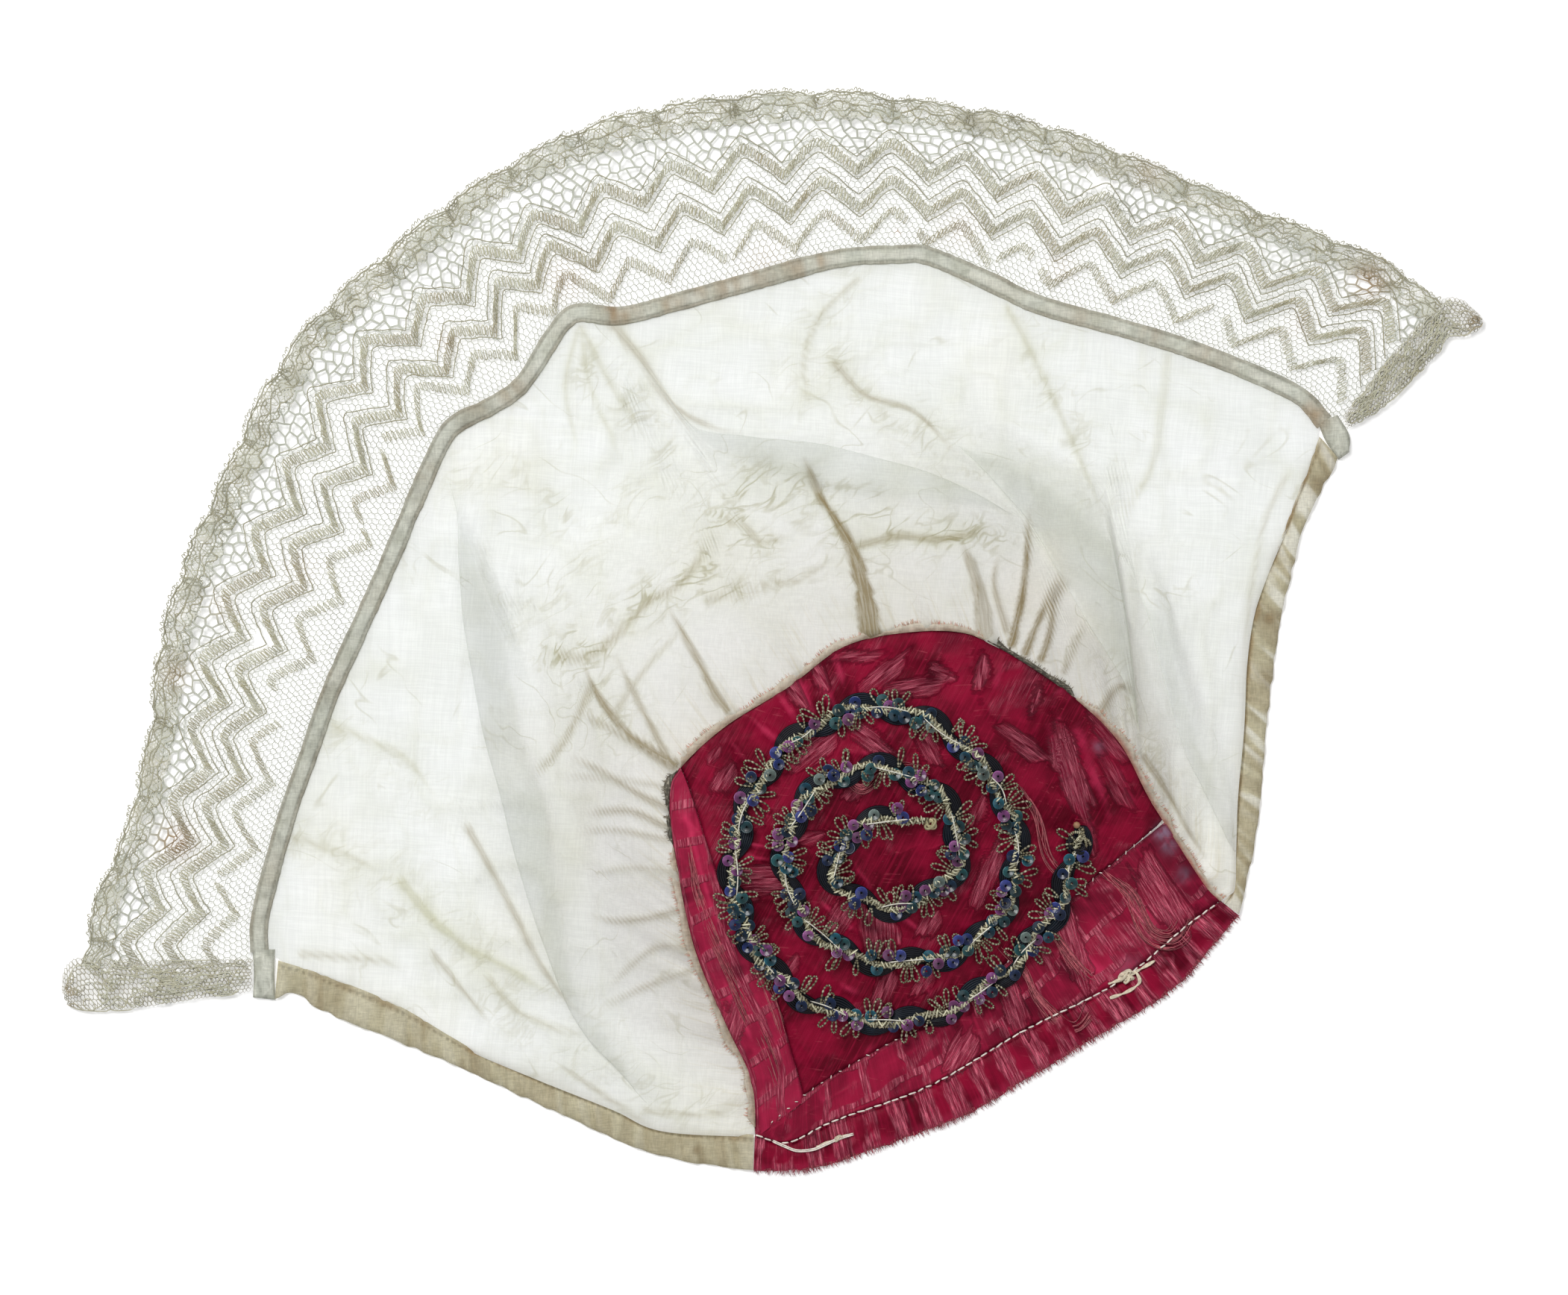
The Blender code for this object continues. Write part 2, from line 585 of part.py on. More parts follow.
def muslin_profile(length, top_height, fold):
    """Heights and distances along one ray from the crown to the tape, with its fold."""
    flat = length * np.array([0, 0.1, 0.2, 0.31, 0.42, 0.52, 0.6, 0.68, 0.76, 0.84, 0.92, 1.0])
    fall = FLOOR_MUSLIN + (top_height - FLOOR_MUSLIN) * (1 - ease(flat / length / FALL_BY))
    if fold is None:
        return flat, fall
    share, depth, crown_side_on_top = fold
    folded = ease(depth / FULL_FOLD_DEPTH)
    reach = share * length
    if not crown_side_on_top:
        reach = reach + depth
    turn = LAYER / 2
    back = reach - depth
    layer = np.array([2, 2, 2, 2, 2, 1.5, 1, 1, 0.5, 0, 0, 0])
    if not crown_side_on_top:
        layer = 2 - layer
    near = reach * np.array([0, 0.25, 0.5, 0.76])
    across = np.array([reach, reach + turn, reach, back, back - turn, back])
    rest = length - back
    far = back + rest * np.array([0.5, 1.0])
    along = np.concatenate([near, across, far])
    ground = np.interp(along, [0, max(reach * 0.98, 1.0), length],
                       [top_height, FLOOR_MUSLIN, FLOOR_MUSLIN])
    arch = PUFF * np.sin(math.pi * np.clip(along / reach, 0, 1)) * (np.arange(12) < 4)
    lift = np.interp(along, [0, reach * 0.5, reach, length], [0, 0.6, 1.0, 1.0])
    if not crown_side_on_top:
        lift = np.where(np.arange(12) >= 10, np.interp(along, [back, length], [1.0, 0.0]), 1.0)
        lift[-1] = 0.0
    raised = ground + arch + LAYER * layer * lift
    return flat + (along - flat) * folded, fall + (raised - fall) * folded


def head_panel():
    """The muslin: gathered on the crown, folded over itself, flat under the tape."""
    seam = Path(CROWN_SEAM)
    places = ray("tape_mm", frill_stations())
    places = (places - places[0]) / (places[-1] - places[0])
    start = seam.at(places * seam.length)
    start = start + seam.left_of(places * seam.length) * (EDGING_WIDTH + 3 * SEAM_GAP)
    stop = beside_tape(frill_stations(), -1)
    ends = Path(BAND_LEFT_SEAM), Path(BAND_RIGHT_SEAM)
    folds = [(Path(points), name != "right") for name, points in FOLDS.items()]
    rows = []
    for place, a, b in zip(places, start, stop):
        mm = place * seam.length
        length = np.linalg.norm(b - a)
        fold = None
        for path, on_top in folds:
            met = crossing(a, b, path)
            if met:
                flattened = ease(min(place, 1 - place) / FOLD_FADE)
                fold = (met[0], met[1] * flattened, on_top)
        height = crown_height(*seam.at(mm))
        along, up = muslin_profile(length, height, fold)
        share = along / length
        plan = a + (b - a) * share[:, None]

        # The first and last rays bow out along the neck seams, and their neighbours a little
        for end, side, lean in zip(ends, (-1, 1), ((1 - place) ** 6, place**6)):
            within = np.clip(share, 0, 1)
            chord = end.points[0] + (end.points[-1] - end.points[0]) * within[:, None]
            inward = end.left_of(end.length / 2) * side * NECK_GAP
            middle = (4 * within * (1 - within))[:, None]
            plan = plan + (end.at(within * end.length) - chord + inward * middle) * lean

        pleat = sum(
            high * np.exp(-(((mm - at) / PLEAT_WIDTH) ** 2)) * (1 - ease(along / reach))
            for at, reach, high in zip(*PLEATS.values())
        )
        pleat = pleat * ease(along / 5.0)
        rows.append(np.column_stack([plan, up + pleat]))
    cloth("head_panel", rows, MUSLIN, MUSLIN_WHITE)


def main():
    for old in list(bpy.data.objects):
        bpy.data.objects.remove(old, do_unlink=True)
    crown_pieces()
    spiral_braid()
    edgings()
    head_panel()
    face_binding()
    frill()
    neck_bands()


main()
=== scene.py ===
"""The looks of a folk cap lying flat on a pale table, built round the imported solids.

Tables and functions work in millimetres, and the meshes are in metres. +X points to the right
end of the frill, +Y to its top and +Z up off the table.
"""

import math

import bpy
import numpy as np
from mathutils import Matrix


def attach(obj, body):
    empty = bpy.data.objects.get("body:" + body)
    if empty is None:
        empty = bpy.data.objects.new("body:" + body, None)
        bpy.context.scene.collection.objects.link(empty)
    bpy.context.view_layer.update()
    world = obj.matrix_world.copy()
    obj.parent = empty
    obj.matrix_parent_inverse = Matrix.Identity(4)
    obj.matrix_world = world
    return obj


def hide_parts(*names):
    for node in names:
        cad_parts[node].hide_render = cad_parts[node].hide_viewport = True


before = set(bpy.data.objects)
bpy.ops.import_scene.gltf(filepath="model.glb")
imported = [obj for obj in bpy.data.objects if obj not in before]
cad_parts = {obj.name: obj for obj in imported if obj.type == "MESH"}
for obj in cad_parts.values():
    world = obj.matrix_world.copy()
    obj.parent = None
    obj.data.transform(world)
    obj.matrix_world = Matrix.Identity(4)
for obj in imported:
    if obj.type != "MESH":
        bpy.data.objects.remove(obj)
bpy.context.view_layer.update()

MM = 0.001
rng = np.random.default_rng(11)

# The crown's slope, as in the solids
CROWN_RISE = 28.0
CROWN_RAMP = 95.0
NAPE_FLAT = 10.0
NAPE_START = (0.0, -172.0)
NAPE_DIRECTION = (0.875, 0.485)

# The tape and the zigzag in mm, the share of the frill at which its border begins, and the share
# of the muslin by which it has come down from the crown
TAPE_WIDTH = 6.0
ZIGZAG_DEPTH = 10.3
BORDER_FROM = 0.84
FALL_BY = 0.69

# The step from layer to layer of a fold, and the height of cloth that lies on the table
LAYER = 1.6
LYING = 0.55

# The spiral's middle, and the angle in degrees at which its outer end lies
SPIRAL_CENTRE = (35.0, -73.0)
SPIRAL_START = 10.0

# How far a crease of the muslin and a pucker of the crown reach, in mm
CREASE_REACH = 8.0
PUCKER_REACH = 9.0

CROWN_SEAM = [
    (-5.5, -160), (-7, -143), (-15, -125), (-25, -100), (-31, -70),
    (-32.5, -52), (-29, -43), (-15, -30), (5, -17.5), (22, -5),
    (40, -0.5), (60, -0.3), (75, -7), (95, -20.5), (110, -35),
    (120, -53), (129.6, -68), (138.2, -81), (143, -86),
]
NAPE_EDGE = [
    (-6, -171.8), (10, -171.8), (30, -166), (60, -155), (80, -143.5),
    (110, -125.5), (130, -112), (148.5, -90.5),
]
HEM_TOP = [
    (-5.5, -160.5), (5, -163), (20, -156), (50, -145), (80, -127.5),
    (110, -112), (132, -94), (143, -86),
]
NAPE_SEAM = [
    (-1.5, -157.6), (15, -144.5), (38, -131), (58, -121), (79, -101.5),
    (100, -81), (112, -71), (122.5, -62),
]
SIDE_SEAM = [
    (-29, -43), (-26, -50), (-18, -75), (-9, -97), (1, -117),
    (7, -137), (10, -148),
]
TAPE_LINE = [
    (-163.5, -102.5), (-163, -90), (-155, -60), (-148, -40), (-141, -20),
    (-132, 0), (-123, 20), (-114.5, 40), (-105.5, 60), (-100, 66.5),
    (-90, 71.5), (-80, 78.5), (-70.5, 93), (-66, 99), (-61, 101.5),
    (-48, 100.5), (-30, 105), (-10, 110.5), (20, 118.5), (40, 120),
    (50, 119.5), (70, 111), (85, 104), (110, 97), (130, 91),
    (150, 83.5), (168, 75), (176, 66.5),
]
FRILL_EDGE = [
    (-220, -103), (-215, -83), (-206, -62), (-199, -33), (-196, -7),
    (-188.5, 20), (-172, 57), (-163, 76), (-152, 93), (-136, 110),
    (-100, 139), (-60, 161), (-20, 170), (18, 172.3), (40, 170.3),
    (80, 163.5), (120, 149.5), (160, 132.5), (195, 118.5), (213, 105),
]
BAND_LEFT_SEAM = [
    (-5.9, -160.5), (-35, -158.5), (-50, -152), (-70, -144), (-92, -135),
    (-103, -129), (-120, -119), (-142, -110), (-157.5, -105),
]
BAND_LEFT_EDGE = [
    (-6.1, -171.8), (-20, -170.3), (-40, -166), (-60, -157.5), (-100, -139),
    (-119, -131), (-133, -125.5), (-145, -120), (-152, -115.5), (-158.5, -117),
]
BAND_RIGHT_SEAM = [
    (143.8, -86.6), (146.6, -82), (147, -70), (147.5, -53), (149.5, -31), (150.5, -10),
    (153, 6), (157.5, 19), (163, 32), (168, 45), (174.5, 62),
]
BAND_RIGHT_EDGE = [
    (148.8, -90.3), (151.5, -79), (155, -60), (157, -38), (159, -18),
    (162, 3), (165, 16), (168.5, 30), (173, 41), (180.5, 55),
]
END_LEFT_TOP = [
    (-165.6, -104.6), (-185, -105), (-205, -105), (-221, -104.4), (-225.6, -108),
    (-226.6, -114),
]
END_LEFT_BOTTOM = [
    (-165.6, -115), (-176, -116.5), (-186, -118), (-205, -120.8), (-219, -121),
    (-225, -119),
]
END_RIGHT_TOP = [
    (182, 68.6), (189, 77.5), (196, 86), (204, 95.5), (211.5, 103.6),
    (215, 106.2), (220, 105.5), (226, 100.5),
]
END_RIGHT_BOTTOM = [
    (182.9, 64), (194, 70.5), (203, 79), (212, 88), (215.5, 93),
    (220, 93.6), (225, 95.5), (226.6, 98.5),
]
FRILL_RAYS = {
    "corner": (0, 3, 6, 9, 12, 15, 18, 21, 24),
    "tape_mm": (1, 64.8, 125.1, 182.2, 238.3, 297.1, 359.6, 421.4, 479.5),
    "edge_mm": (4.2, 78.7, 147.8, 223.7, 297.4, 373.1, 449.6, 522.4, 599.1),
    "outer_row": (0.77, 0.75, 0.72, 0.695, 0.66, 0.7, 0.695, 0.73, 0.77),
    "middle_row": (0.53, 0.54, 0.505, 0.445, 0.455, 0.475, 0.46, 0.525, 0.545),
    "inner_row": (0.31, 0.36, 0.295, 0.3, 0.255, 0.285, 0.265, 0.325, 0.315),
}
FIRST_CORNER, LAST_CORNER = -0.34, 24.62
SPIRAL = {
    "turns": (0, 0.13, 0.26, 0.46, 0.6, 0.77, 0.9, 1.09, 1.26, 1.45, 1.7, 1.92, 2.03,
              2.13, 2.33, 2.49, 2.63, 2.81, 2.92),
    "radius": (63, 53.6, 51.7, 48.3, 46.5, 49, 43.8, 41.6, 32.6, 31, 31, 26.8, 24,
               18, 14.2, 16.4, 13.4, 14, 19),
}


# Curves, noise and surfaces


def clamp(x):
    return np.clip(x, 0.0, 1.0)


def ease(x):
    """A smooth step from 0 to 1."""
    x = clamp(x)
    return x * x * (3.0 - 2.0 * x)


def bell(x):
    return np.exp(-(x**2))


def left(vectors):
    """Vectors in plan, turned a quarter to the left."""
    return np.stack([-vectors[..., 1], vectors[..., 0]], axis=-1)


def unit(vectors):
    return vectors / (np.linalg.norm(vectors, axis=-1, keepdims=True) + 1e-9)


def between(a, b, v):
    """A grid of points from one line of points to another."""
    return a[:, None] * (1 - v)[None, :, None] + b[:, None] * v[None, :, None]


def turned_about(x, y, px, py, degrees):
    """Places seen from a point, along a turned direction and across it."""
    c, s = math.cos(math.radians(degrees)), math.sin(math.radians(degrees))
    return (x - px) * c + (y - py) * s, (y - py) * c - (x - px) * s


def ribbon(first, second, steps, wide):
    """A grid between two paths, with its shares along and across and its first and last lines."""
    u, v = np.linspace(0, 1, steps), np.linspace(0, 1, wide)
    a, b = first.at(u * first.length), second.at(u * second.length)
    return u, v, a, b, between(a, b, v)


class Path:
    """A smooth curve through a few points, read by its arc length in plan."""

    SPAN_STEPS = 16

    def __init__(self, points):
        known = np.array(points, float)
        known = np.vstack([2 * known[0] - known[1], known, 2 * known[-1] - known[-2]])
        steps = np.linspace(0.0, 1.0, self.SPAN_STEPS, endpoint=False)[:, None]
        spans = [self.span(known[i - 1 : i + 3], steps) for i in range(1, len(known) - 2)]
        self.points = np.vstack(spans + [known[-2:-1]])
        lengths = np.hypot(*np.diff(self.points[:, :2], axis=0).T)
        self.arc = np.concatenate([[0.0], np.cumsum(lengths)])
        self.length = self.arc[-1]

    @staticmethod
    def span(four, t):
        """The Catmull-Rom curve from the second point to the third."""
        a, b, c, d = four
        cubic = 3 * b - a - 3 * c + d
        return 0.5 * (2 * b + (c - a) * t + (2 * a - 5 * b + 4 * c - d) * t**2 + cubic * t**3)

    def at(self, mm):
        mm = np.clip(mm, 0.0, self.length)
        columns = [np.interp(mm, self.arc, column) for column in self.points.T]
        return np.stack(columns, axis=-1)

    def left_of(self, mm):
        """The unit normal on the left of the way the curve runs."""
        reach = 0.5
        mm = np.clip(mm, reach / 2, self.length - reach / 2)
        run = self.at(np.asarray(mm) + reach) - self.at(np.asarray(mm) - reach)
        run = run[..., :2] / np.linalg.norm(run[..., :2], axis=-1, keepdims=True)
        return left(run)

    def beside(self, mm, off):
        """Points of the curve, moved to its left."""
        return self.at(mm) + self.left_of(mm) * np.asarray(off)[..., None]

    def nearest(self, point):
        """How far along the curve comes closest to a point."""
        return self.arc[np.argmin(np.hypot(*(self.points - point).T))]


LATTICE = rng.uniform(-1.0, 1.0, (256, 256))


def noise(x, y, size, seed=0):
    """Smooth seeded noise from -1 to 1, with features of about size mm."""
    x = np.asarray(x) / size + 31.7 * seed + 1000.0
    y = np.asarray(y) / size + 57.3 * seed + 1000.0
    i, j = np.floor(x).astype(int), np.floor(y).astype(int)
    s, t = ease(x - i), ease(y - j)

    def corner(a, b):
        return LATTICE[(i + a) % 256, (j + b) % 256]

    low = corner(0, 0) * (1 - s) + corner(1, 0) * s
    high = corner(0, 1) * (1 - s) + corner(1, 1) * s
    return low * (1 - t) + high * t


def ripple(mm, size, seed=0):
    """Noise along a line."""
    return noise(mm, mm * 0, size, seed)


def ridges(x, y, size, seed=0):
    """Thin crests from 0 to 1, as in crumpled cloth."""
    return (1.0 - np.abs(noise(x, y, size, seed))) ** 6


def near_line(points, x, y, reach):
    """For points within reach of a line: their distance, how far along it and on which side."""
    line = Path(points)
    knots = line.at(np.linspace(0.0, line.length, max(5, int(line.length / 2.5))))
    gap, along, side = np.full(x.shape, float(reach)), np.zeros(x.shape), np.ones(x.shape)
    low, high = knots.min(axis=0) - reach, knots.max(axis=0) + reach
    close = (x > low[0]) & (x < high[0]) & (y > low[1]) & (y < high[1])
    px, py = x[close], y[close]
    best, share, which = gap[close], along[close], side[close]
    for k, ((ax, ay), (bx, by)) in enumerate(zip(knots[:-1], knots[1:])):
        dx, dy = bx - ax, by - ay
        t = clamp(((px - ax) * dx + (py - ay) * dy) / (dx * dx + dy * dy))
        away = np.hypot(px - ax - t * dx, py - ay - t * dy)
        nearer = away < best
        best = np.where(nearer, away, best)
        share = np.where(nearer, (k + t) / (len(knots) - 1), share)
        which = np.where(nearer, np.sign(dx * (py - ay) - dy * (px - ax)), which)
    gap[close], along[close], side[close] = best, share, which
    return gap, along, side, line.length


def within_outline(outline, x, y):
    """Whether points lie inside a closed outline, by counting crossings."""
    inside = np.zeros(x.shape, bool)
    for (ax, ay), (bx, by) in zip(outline, np.roll(outline, -1, axis=0)):
        if ay == by:
            continue
        spans = (ay > y) != (by > y)
        inside ^= spans & (x < ax + (y - ay) * (bx - ax) / (by - ay))
    return inside


def stain_at(x, y, spots):
    """How stained a point is, from spots of x, y, radius and strength."""
    total = np.zeros(np.shape(x))
    for sx, sy, radius, strength in spots:
        total = np.maximum(total, strength * np.exp(-((x - sx) ** 2 + (y - sy) ** 2) / radius**2))
    return total


def beyond(path, mm):
    """Points of a path, which runs straight on past its ends."""
    mm = np.asarray(mm, float)
    first, last = path.points[1] - path.points[0], path.points[-1] - path.points[-2]
    first, last = first / np.linalg.norm(first), last / np.linalg.norm(last)
    before, after = np.clip(mm, None, 0.0), np.clip(mm - path.length, 0.0, None)
    return path.at(mm) + before[..., None] * first + after[..., None] * last


TAPE, EDGE, SEAM = Path(TAPE_LINE), Path(FRILL_EDGE), Path(CROWN_SEAM)


def crown_height(x, y):
    """The height of the crown's middle surface above the table."""
    across_x, across_y = -NAPE_DIRECTION[1], NAPE_DIRECTION[0]
    up_from_nape = (x - NAPE_START[0]) * across_x + (y - NAPE_START[1]) * across_y
    return 1.2 + CROWN_RISE * ease((up_from_nape - NAPE_FLAT) / CROWN_RAMP)


def crown_surface(x, y):
    """The crown with its puckers and wrinkles."""
    x, y = np.broadcast_arrays(np.asarray(x, float), np.asarray(y, float))
    angle = np.arctan2(y - SPIRAL_CENTRE[1], x - SPIRAL_CENTRE[0])
    radius = np.hypot(x - SPIRAL_CENTRE[0], y - SPIRAL_CENTRE[1])
    pucker = noise(angle * 50.0, radius * 0.25, 3.0, 3) * ease((radius - 40.0) / 40.0)
    wrinkle = ridges(x * 0.8 + y * 0.6, (y * 0.8 - x * 0.6) * 0.45, 8.0, 5)
    fine = ridges(x * 0.5 - y * 0.86, (y * 0.5 + x * 0.86) * 0.35, 4.0, 6)
    height = crown_height(x, y) + 0.35 * noise(x, y, 13.0, 4) + 0.35 * pucker + 0.5 * wrinkle + 0.3 * fine
    for width, rise, points in CROWN_CREASES:
        gap, part, _, _ = near_line(points, x, y, PUCKER_REACH)
        ends = np.sin(math.pi * np.clip(part, 0.06, 0.94)) ** 0.5
        height = height + 1.3 * rise * ends * bell(gap / (width * 0.55)) * (gap < PUCKER_REACH)
    return height


def seat(plan, up):
    """Points over the crown, lifted off its surface."""
    return np.concatenate([plan, (crown_surface(plan[..., 0], plan[..., 1]) + up)[..., None]], -1)


# Meshes


def grid_faces(rows, columns, wrap=False, close=False):
    """Four-cornered faces over a grid of points, row by row."""
    i, j = np.indices((rows if close else rows - 1, columns if wrap else columns - 1))
    down, after = (i + 1) % rows, (j + 1) % columns
    corners = ((i, j), (down, j), (down, after), (i, after))
    return np.stack([row * columns + column for row, column in corners], axis=-1).reshape(-1, 4)


def piece(name, points, faces, shader, slot, stands_for=(), tone=None, **fields):
    """A mesh of the scene, which rides on the part's one body."""
    points = np.asarray(points, float).reshape(-1, 3)
    faces = np.asarray(faces, np.int32)
    data = bpy.data.meshes.new(name)
    data.vertices.add(len(points))
    data.vertices.foreach_set("co", (points * MM).ravel())
    count, corners = faces.shape
    data.loops.add(count * corners)
    data.loops.foreach_set("vertex_index", faces.ravel())
    data.polygons.add(count)
    data.polygons.foreach_set("loop_start", np.arange(count, dtype=np.int32) * corners)
    data.update(calc_edges=True)
    data.shade_smooth()
    if tone is not None:
        colours = np.ones((len(points), 4))
        colours[:, :3] = np.asarray(tone, float).reshape(-1, 3)
        layer = data.attributes.new("tone", "FLOAT_COLOR", "POINT")
        layer.data.foreach_set("color", colours.ravel())
    for field, vectors in fields.items():
        layer = data.attributes.new(field, "FLOAT_VECTOR", "POINT")
        layer.data.foreach_set("vector", np.asarray(vectors, float).ravel())
    data.materials.append(shader)
    made = bpy.data.objects.new(name, data)
    bpy.context.scene.collection.objects.link(made)
    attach(made, "root")
    if stands_for:
        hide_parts(*stands_for)
    return made


def surface(name, grid, shader, slot, stands_for=(), tone=None, **fields):
    """A sheet through a grid of points, facing up."""
    faces = grid_faces(*grid.shape[:2])
    a, b, c = (grid.reshape(-1, 3)[faces[:, k]] for k in range(3))
    if np.cross(b - a, c - a)[:, 2].sum() < 0:
        faces = faces[:, ::-1]
    return piece(name, grid, faces, shader, slot, stands_for, tone, **fields)


def area_of(made):
    """The area of a piece's faces in square metres."""
    return sum(face.area for face in made.data.polygons)


def plain_sheet(made, flat):
    """Works out the smaller of a piece's area and the area of cloth it was cut to; the result is not used.
    """
    shown = min(area_of(made), flat[0] * flat[1])


def tubes(lines, radius, sides=3, closed=False):
    """Points and faces of threads along lines that all have the same number of points.

    Open threads run to a point at both ends, and closed ones join up.
    """
    lines = np.asarray(lines, float)
    count, steps = lines.shape[:2]
    radius = np.array(np.broadcast_to(radius, (count, steps)), float)
    if closed:
        run = np.roll(lines, -1, axis=1) - np.roll(lines, 1, axis=1)
    else:
        run = np.gradient(lines, axis=1)
        radius[:, [0, -1]] = 0.02
    run /= np.linalg.norm(run, axis=2, keepdims=True) + 1e-9
    aside = np.cross(run, (0.0, 0.0, 1.0))
    aside /= np.linalg.norm(aside, axis=2, keepdims=True) + 1e-9
    up = np.cross(aside, run)
    turn = np.arange(sides) * math.tau / sides + math.pi / 2
    ring = aside[:, :, None] * np.cos(turn)[:, None] + up[:, :, None] * np.sin(turn)[:, None]
    points = lines[:, :, None] + ring * radius[:, :, None, None]
    faces = grid_faces(steps, sides, wrap=True, close=closed)
    shift = (np.arange(count) * steps * sides)[:, None, None]
    return points.reshape(-1, 3), (faces[None] + shift).reshape(-1, 4)


def threads(lines, radius, tone, sides=3, closed=False):
    """Points, faces and tone of threads. The tone may be worked out from the points."""
    points, faces = tubes(lines, radius, sides, closed)
    return points, faces, tone(points) if callable(tone) else tone


def shades(low, high, count, each, colour):
    """Tone of threads, each of its own shade of a colour."""
    return np.repeat(rng.uniform(low, high, count), each)[:, None] * np.array(colour)


def joined(name, parts, shader, slot, stands_for=()):
    """One piece of several (points, faces, tone)."""
    starts = np.cumsum([0] + [len(points) for points, _, _ in parts])
    faces = np.vstack([faces + start for (_, faces, _), start in zip(parts, starts)])
    tone = np.vstack([np.broadcast_to(tone, (len(points), 3)) for points, _, tone in parts])
    points = np.vstack([points for points, _, _ in parts])
    return piece(name, points, faces, shader, slot, stands_for, tone)


def tones(*channels):
    """The tone of a piece: three channels from 0 to 1."""
    return np.stack(np.broadcast_arrays(*(clamp(channel) for channel in channels)), axis=-1)


# Materials


class Shader:
    """A node material that is put together from a few words."""

    def __init__(self, name, roughness, specular, **sockets):
        self.material = bpy.data.materials.new(name)
        self.material.use_nodes = True
        self.tree = self.material.node_tree
        self.bsdf = self.tree.nodes["Principled BSDF"]
        self.set(self.bsdf, {"Roughness": roughness, "Specular IOR Level": specular, **sockets})
        place = self.add("ShaderNodeTexCoord").outputs["Object"]
        self.mm = self.vector("MULTIPLY", place, (1000.0, 1000.0, 1000.0))

    def set(self, node, values):
        for key, value in values.items():
            socket = node.inputs[key]
            if isinstance(value, bpy.types.NodeSocket):
                self.tree.links.new(value, socket)
            elif isinstance(value, tuple) and len(value) == 3 and socket.type == "RGBA":
                socket.default_value = (*value, 1.0)
            else:
                socket.default_value = value

    def add(self, kind, values=None, **settings):
        node = self.tree.nodes.new(kind)
        for key, value in settings.items():
            setattr(node, key, value)
        self.set(node, values or {})
        return node

    def vector(self, operation, a, b):
        return self.add("ShaderNodeVectorMath", {0: a, 1: b}, operation=operation).outputs[0]

    def math(self, operation, a, b=0.0):
        return self.add("ShaderNodeMath", {0: a, 1: b}, operation=operation).outputs[0]

    def times(self, a, b):
        return self.math("MULTIPLY", a, b)

    def plus(self, a, b):
        return self.math("ADD", a, b)

    def most(self, a, b):
        return self.math("MAXIMUM", a, b)

    def paint(self, colour):
        self.set(self.bsdf, {"Base Color": colour})

    def field(self, name, scale):
        """A vector that is stored on the mesh, stretched."""
        stored = self.add("ShaderNodeAttribute", attribute_name=name).outputs["Vector"]
        return self.vector("MULTIPLY", stored, scale)

    def turned(self, degrees, scale=(1.0, 1.0, 1.0), warp=0.0, warp_size=20.0):
        """Millimetre coordinates turned about Z, stretched, and bent a little by noise."""
        base = self.mm
        if warp:
            bend = self.noise(1.0 / warp_size, detail=1.0, colour=True)
            shift = self.vector("SUBTRACT", bend, (0.5, 0.5, 0.5))
            base = self.vector("ADD", base, self.vector("MULTIPLY", shift, (warp, warp, warp)))
        spun = self.add("ShaderNodeVectorRotate", {"Vector": base, "Angle": math.radians(degrees)},
                        rotation_type="Z_AXIS").outputs[0]
        return self.vector("MULTIPLY", spun, scale)

    def noise(self, scale, vector=None, detail=3.0, rough=0.55, colour=False):
        node = self.add("ShaderNodeTexNoise", {
            "Vector": vector or self.mm, "Scale": scale, "Detail": detail, "Roughness": rough})
        return node.outputs["Color" if colour else "Fac"]

    def weave(self, degrees, along, across, bend):
        """Two sets of threads that cross."""
        warp_threads = self.noise(1.0, self.turned(degrees, (along, across, 1.0), bend), 2.0)
        weft_threads = self.noise(1.0, self.turned(degrees, (across, along, 1.0), bend), 2.0)
        return self.plus(warp_threads, weft_threads)

    def step(self, value, low, high, to_low=0.0, to_high=1.0):
        return self.add("ShaderNodeMapRange", {
            "Value": value, "From Min": low, "From Max": high, "To Min": to_low,
            "To Max": to_high}, interpolation_type="SMOOTHSTEP").outputs[0]

    def mix(self, factor, a, b, blend="MIX"):
        node = self.add("ShaderNodeMix", data_type="RGBA", blend_type=blend)
        self.set(node, {0: factor})
        for key, value in ((6, a), (7, b)):
            if isinstance(value, bpy.types.NodeSocket):
                self.tree.links.new(value, node.inputs[key])
            else:
                node.inputs[key].default_value = (*value, 1.0)
        return node.outputs[2]

    def scaled(self, colour, factor):
        grey = self.add("ShaderNodeCombineColor", {0: factor, 1: factor, 2: factor}).outputs[0]
        return self.mix(1.0, colour, grey, "MULTIPLY")

    def tone(self):
        """The three channels of a piece's tone: what each means depends on the piece."""
        colour = self.add("ShaderNodeAttribute", attribute_name="tone").outputs["Color"]
        split = self.add("ShaderNodeSeparateColor", {0: colour})
        return split.outputs[0], split.outputs[1], split.outputs[2], colour

    def soiled_and_shaded(self, tone, patches, colour, dark, lightest, stained):
        """Patchy colour, which tone's red darkens, green stains and blue lightens. On the tape's turned-in
        ends and the casings the red also holds painted shade, on the casings the green holds painted shade
        in the gathers too, and on the tape, its ends and the casings the blue holds painted highlights.
        """
        deep, stain, light, _ = tone
        base = self.mix(patches, colour, dark)
        base = self.mix(deep, base, tuple(0.45 * c for c in dark))
        base = self.mix(light, base, lightest)
        return self.mix(stain, base, stained)

    def bump(self, height, strength, distance_mm):
        node = self.add("ShaderNodeBump", {"Height": height, "Strength": strength,
                                           "Distance": distance_mm * MM})
        self.set(self.bsdf, {"Normal": node.outputs[0]})
        return node.outputs[0]

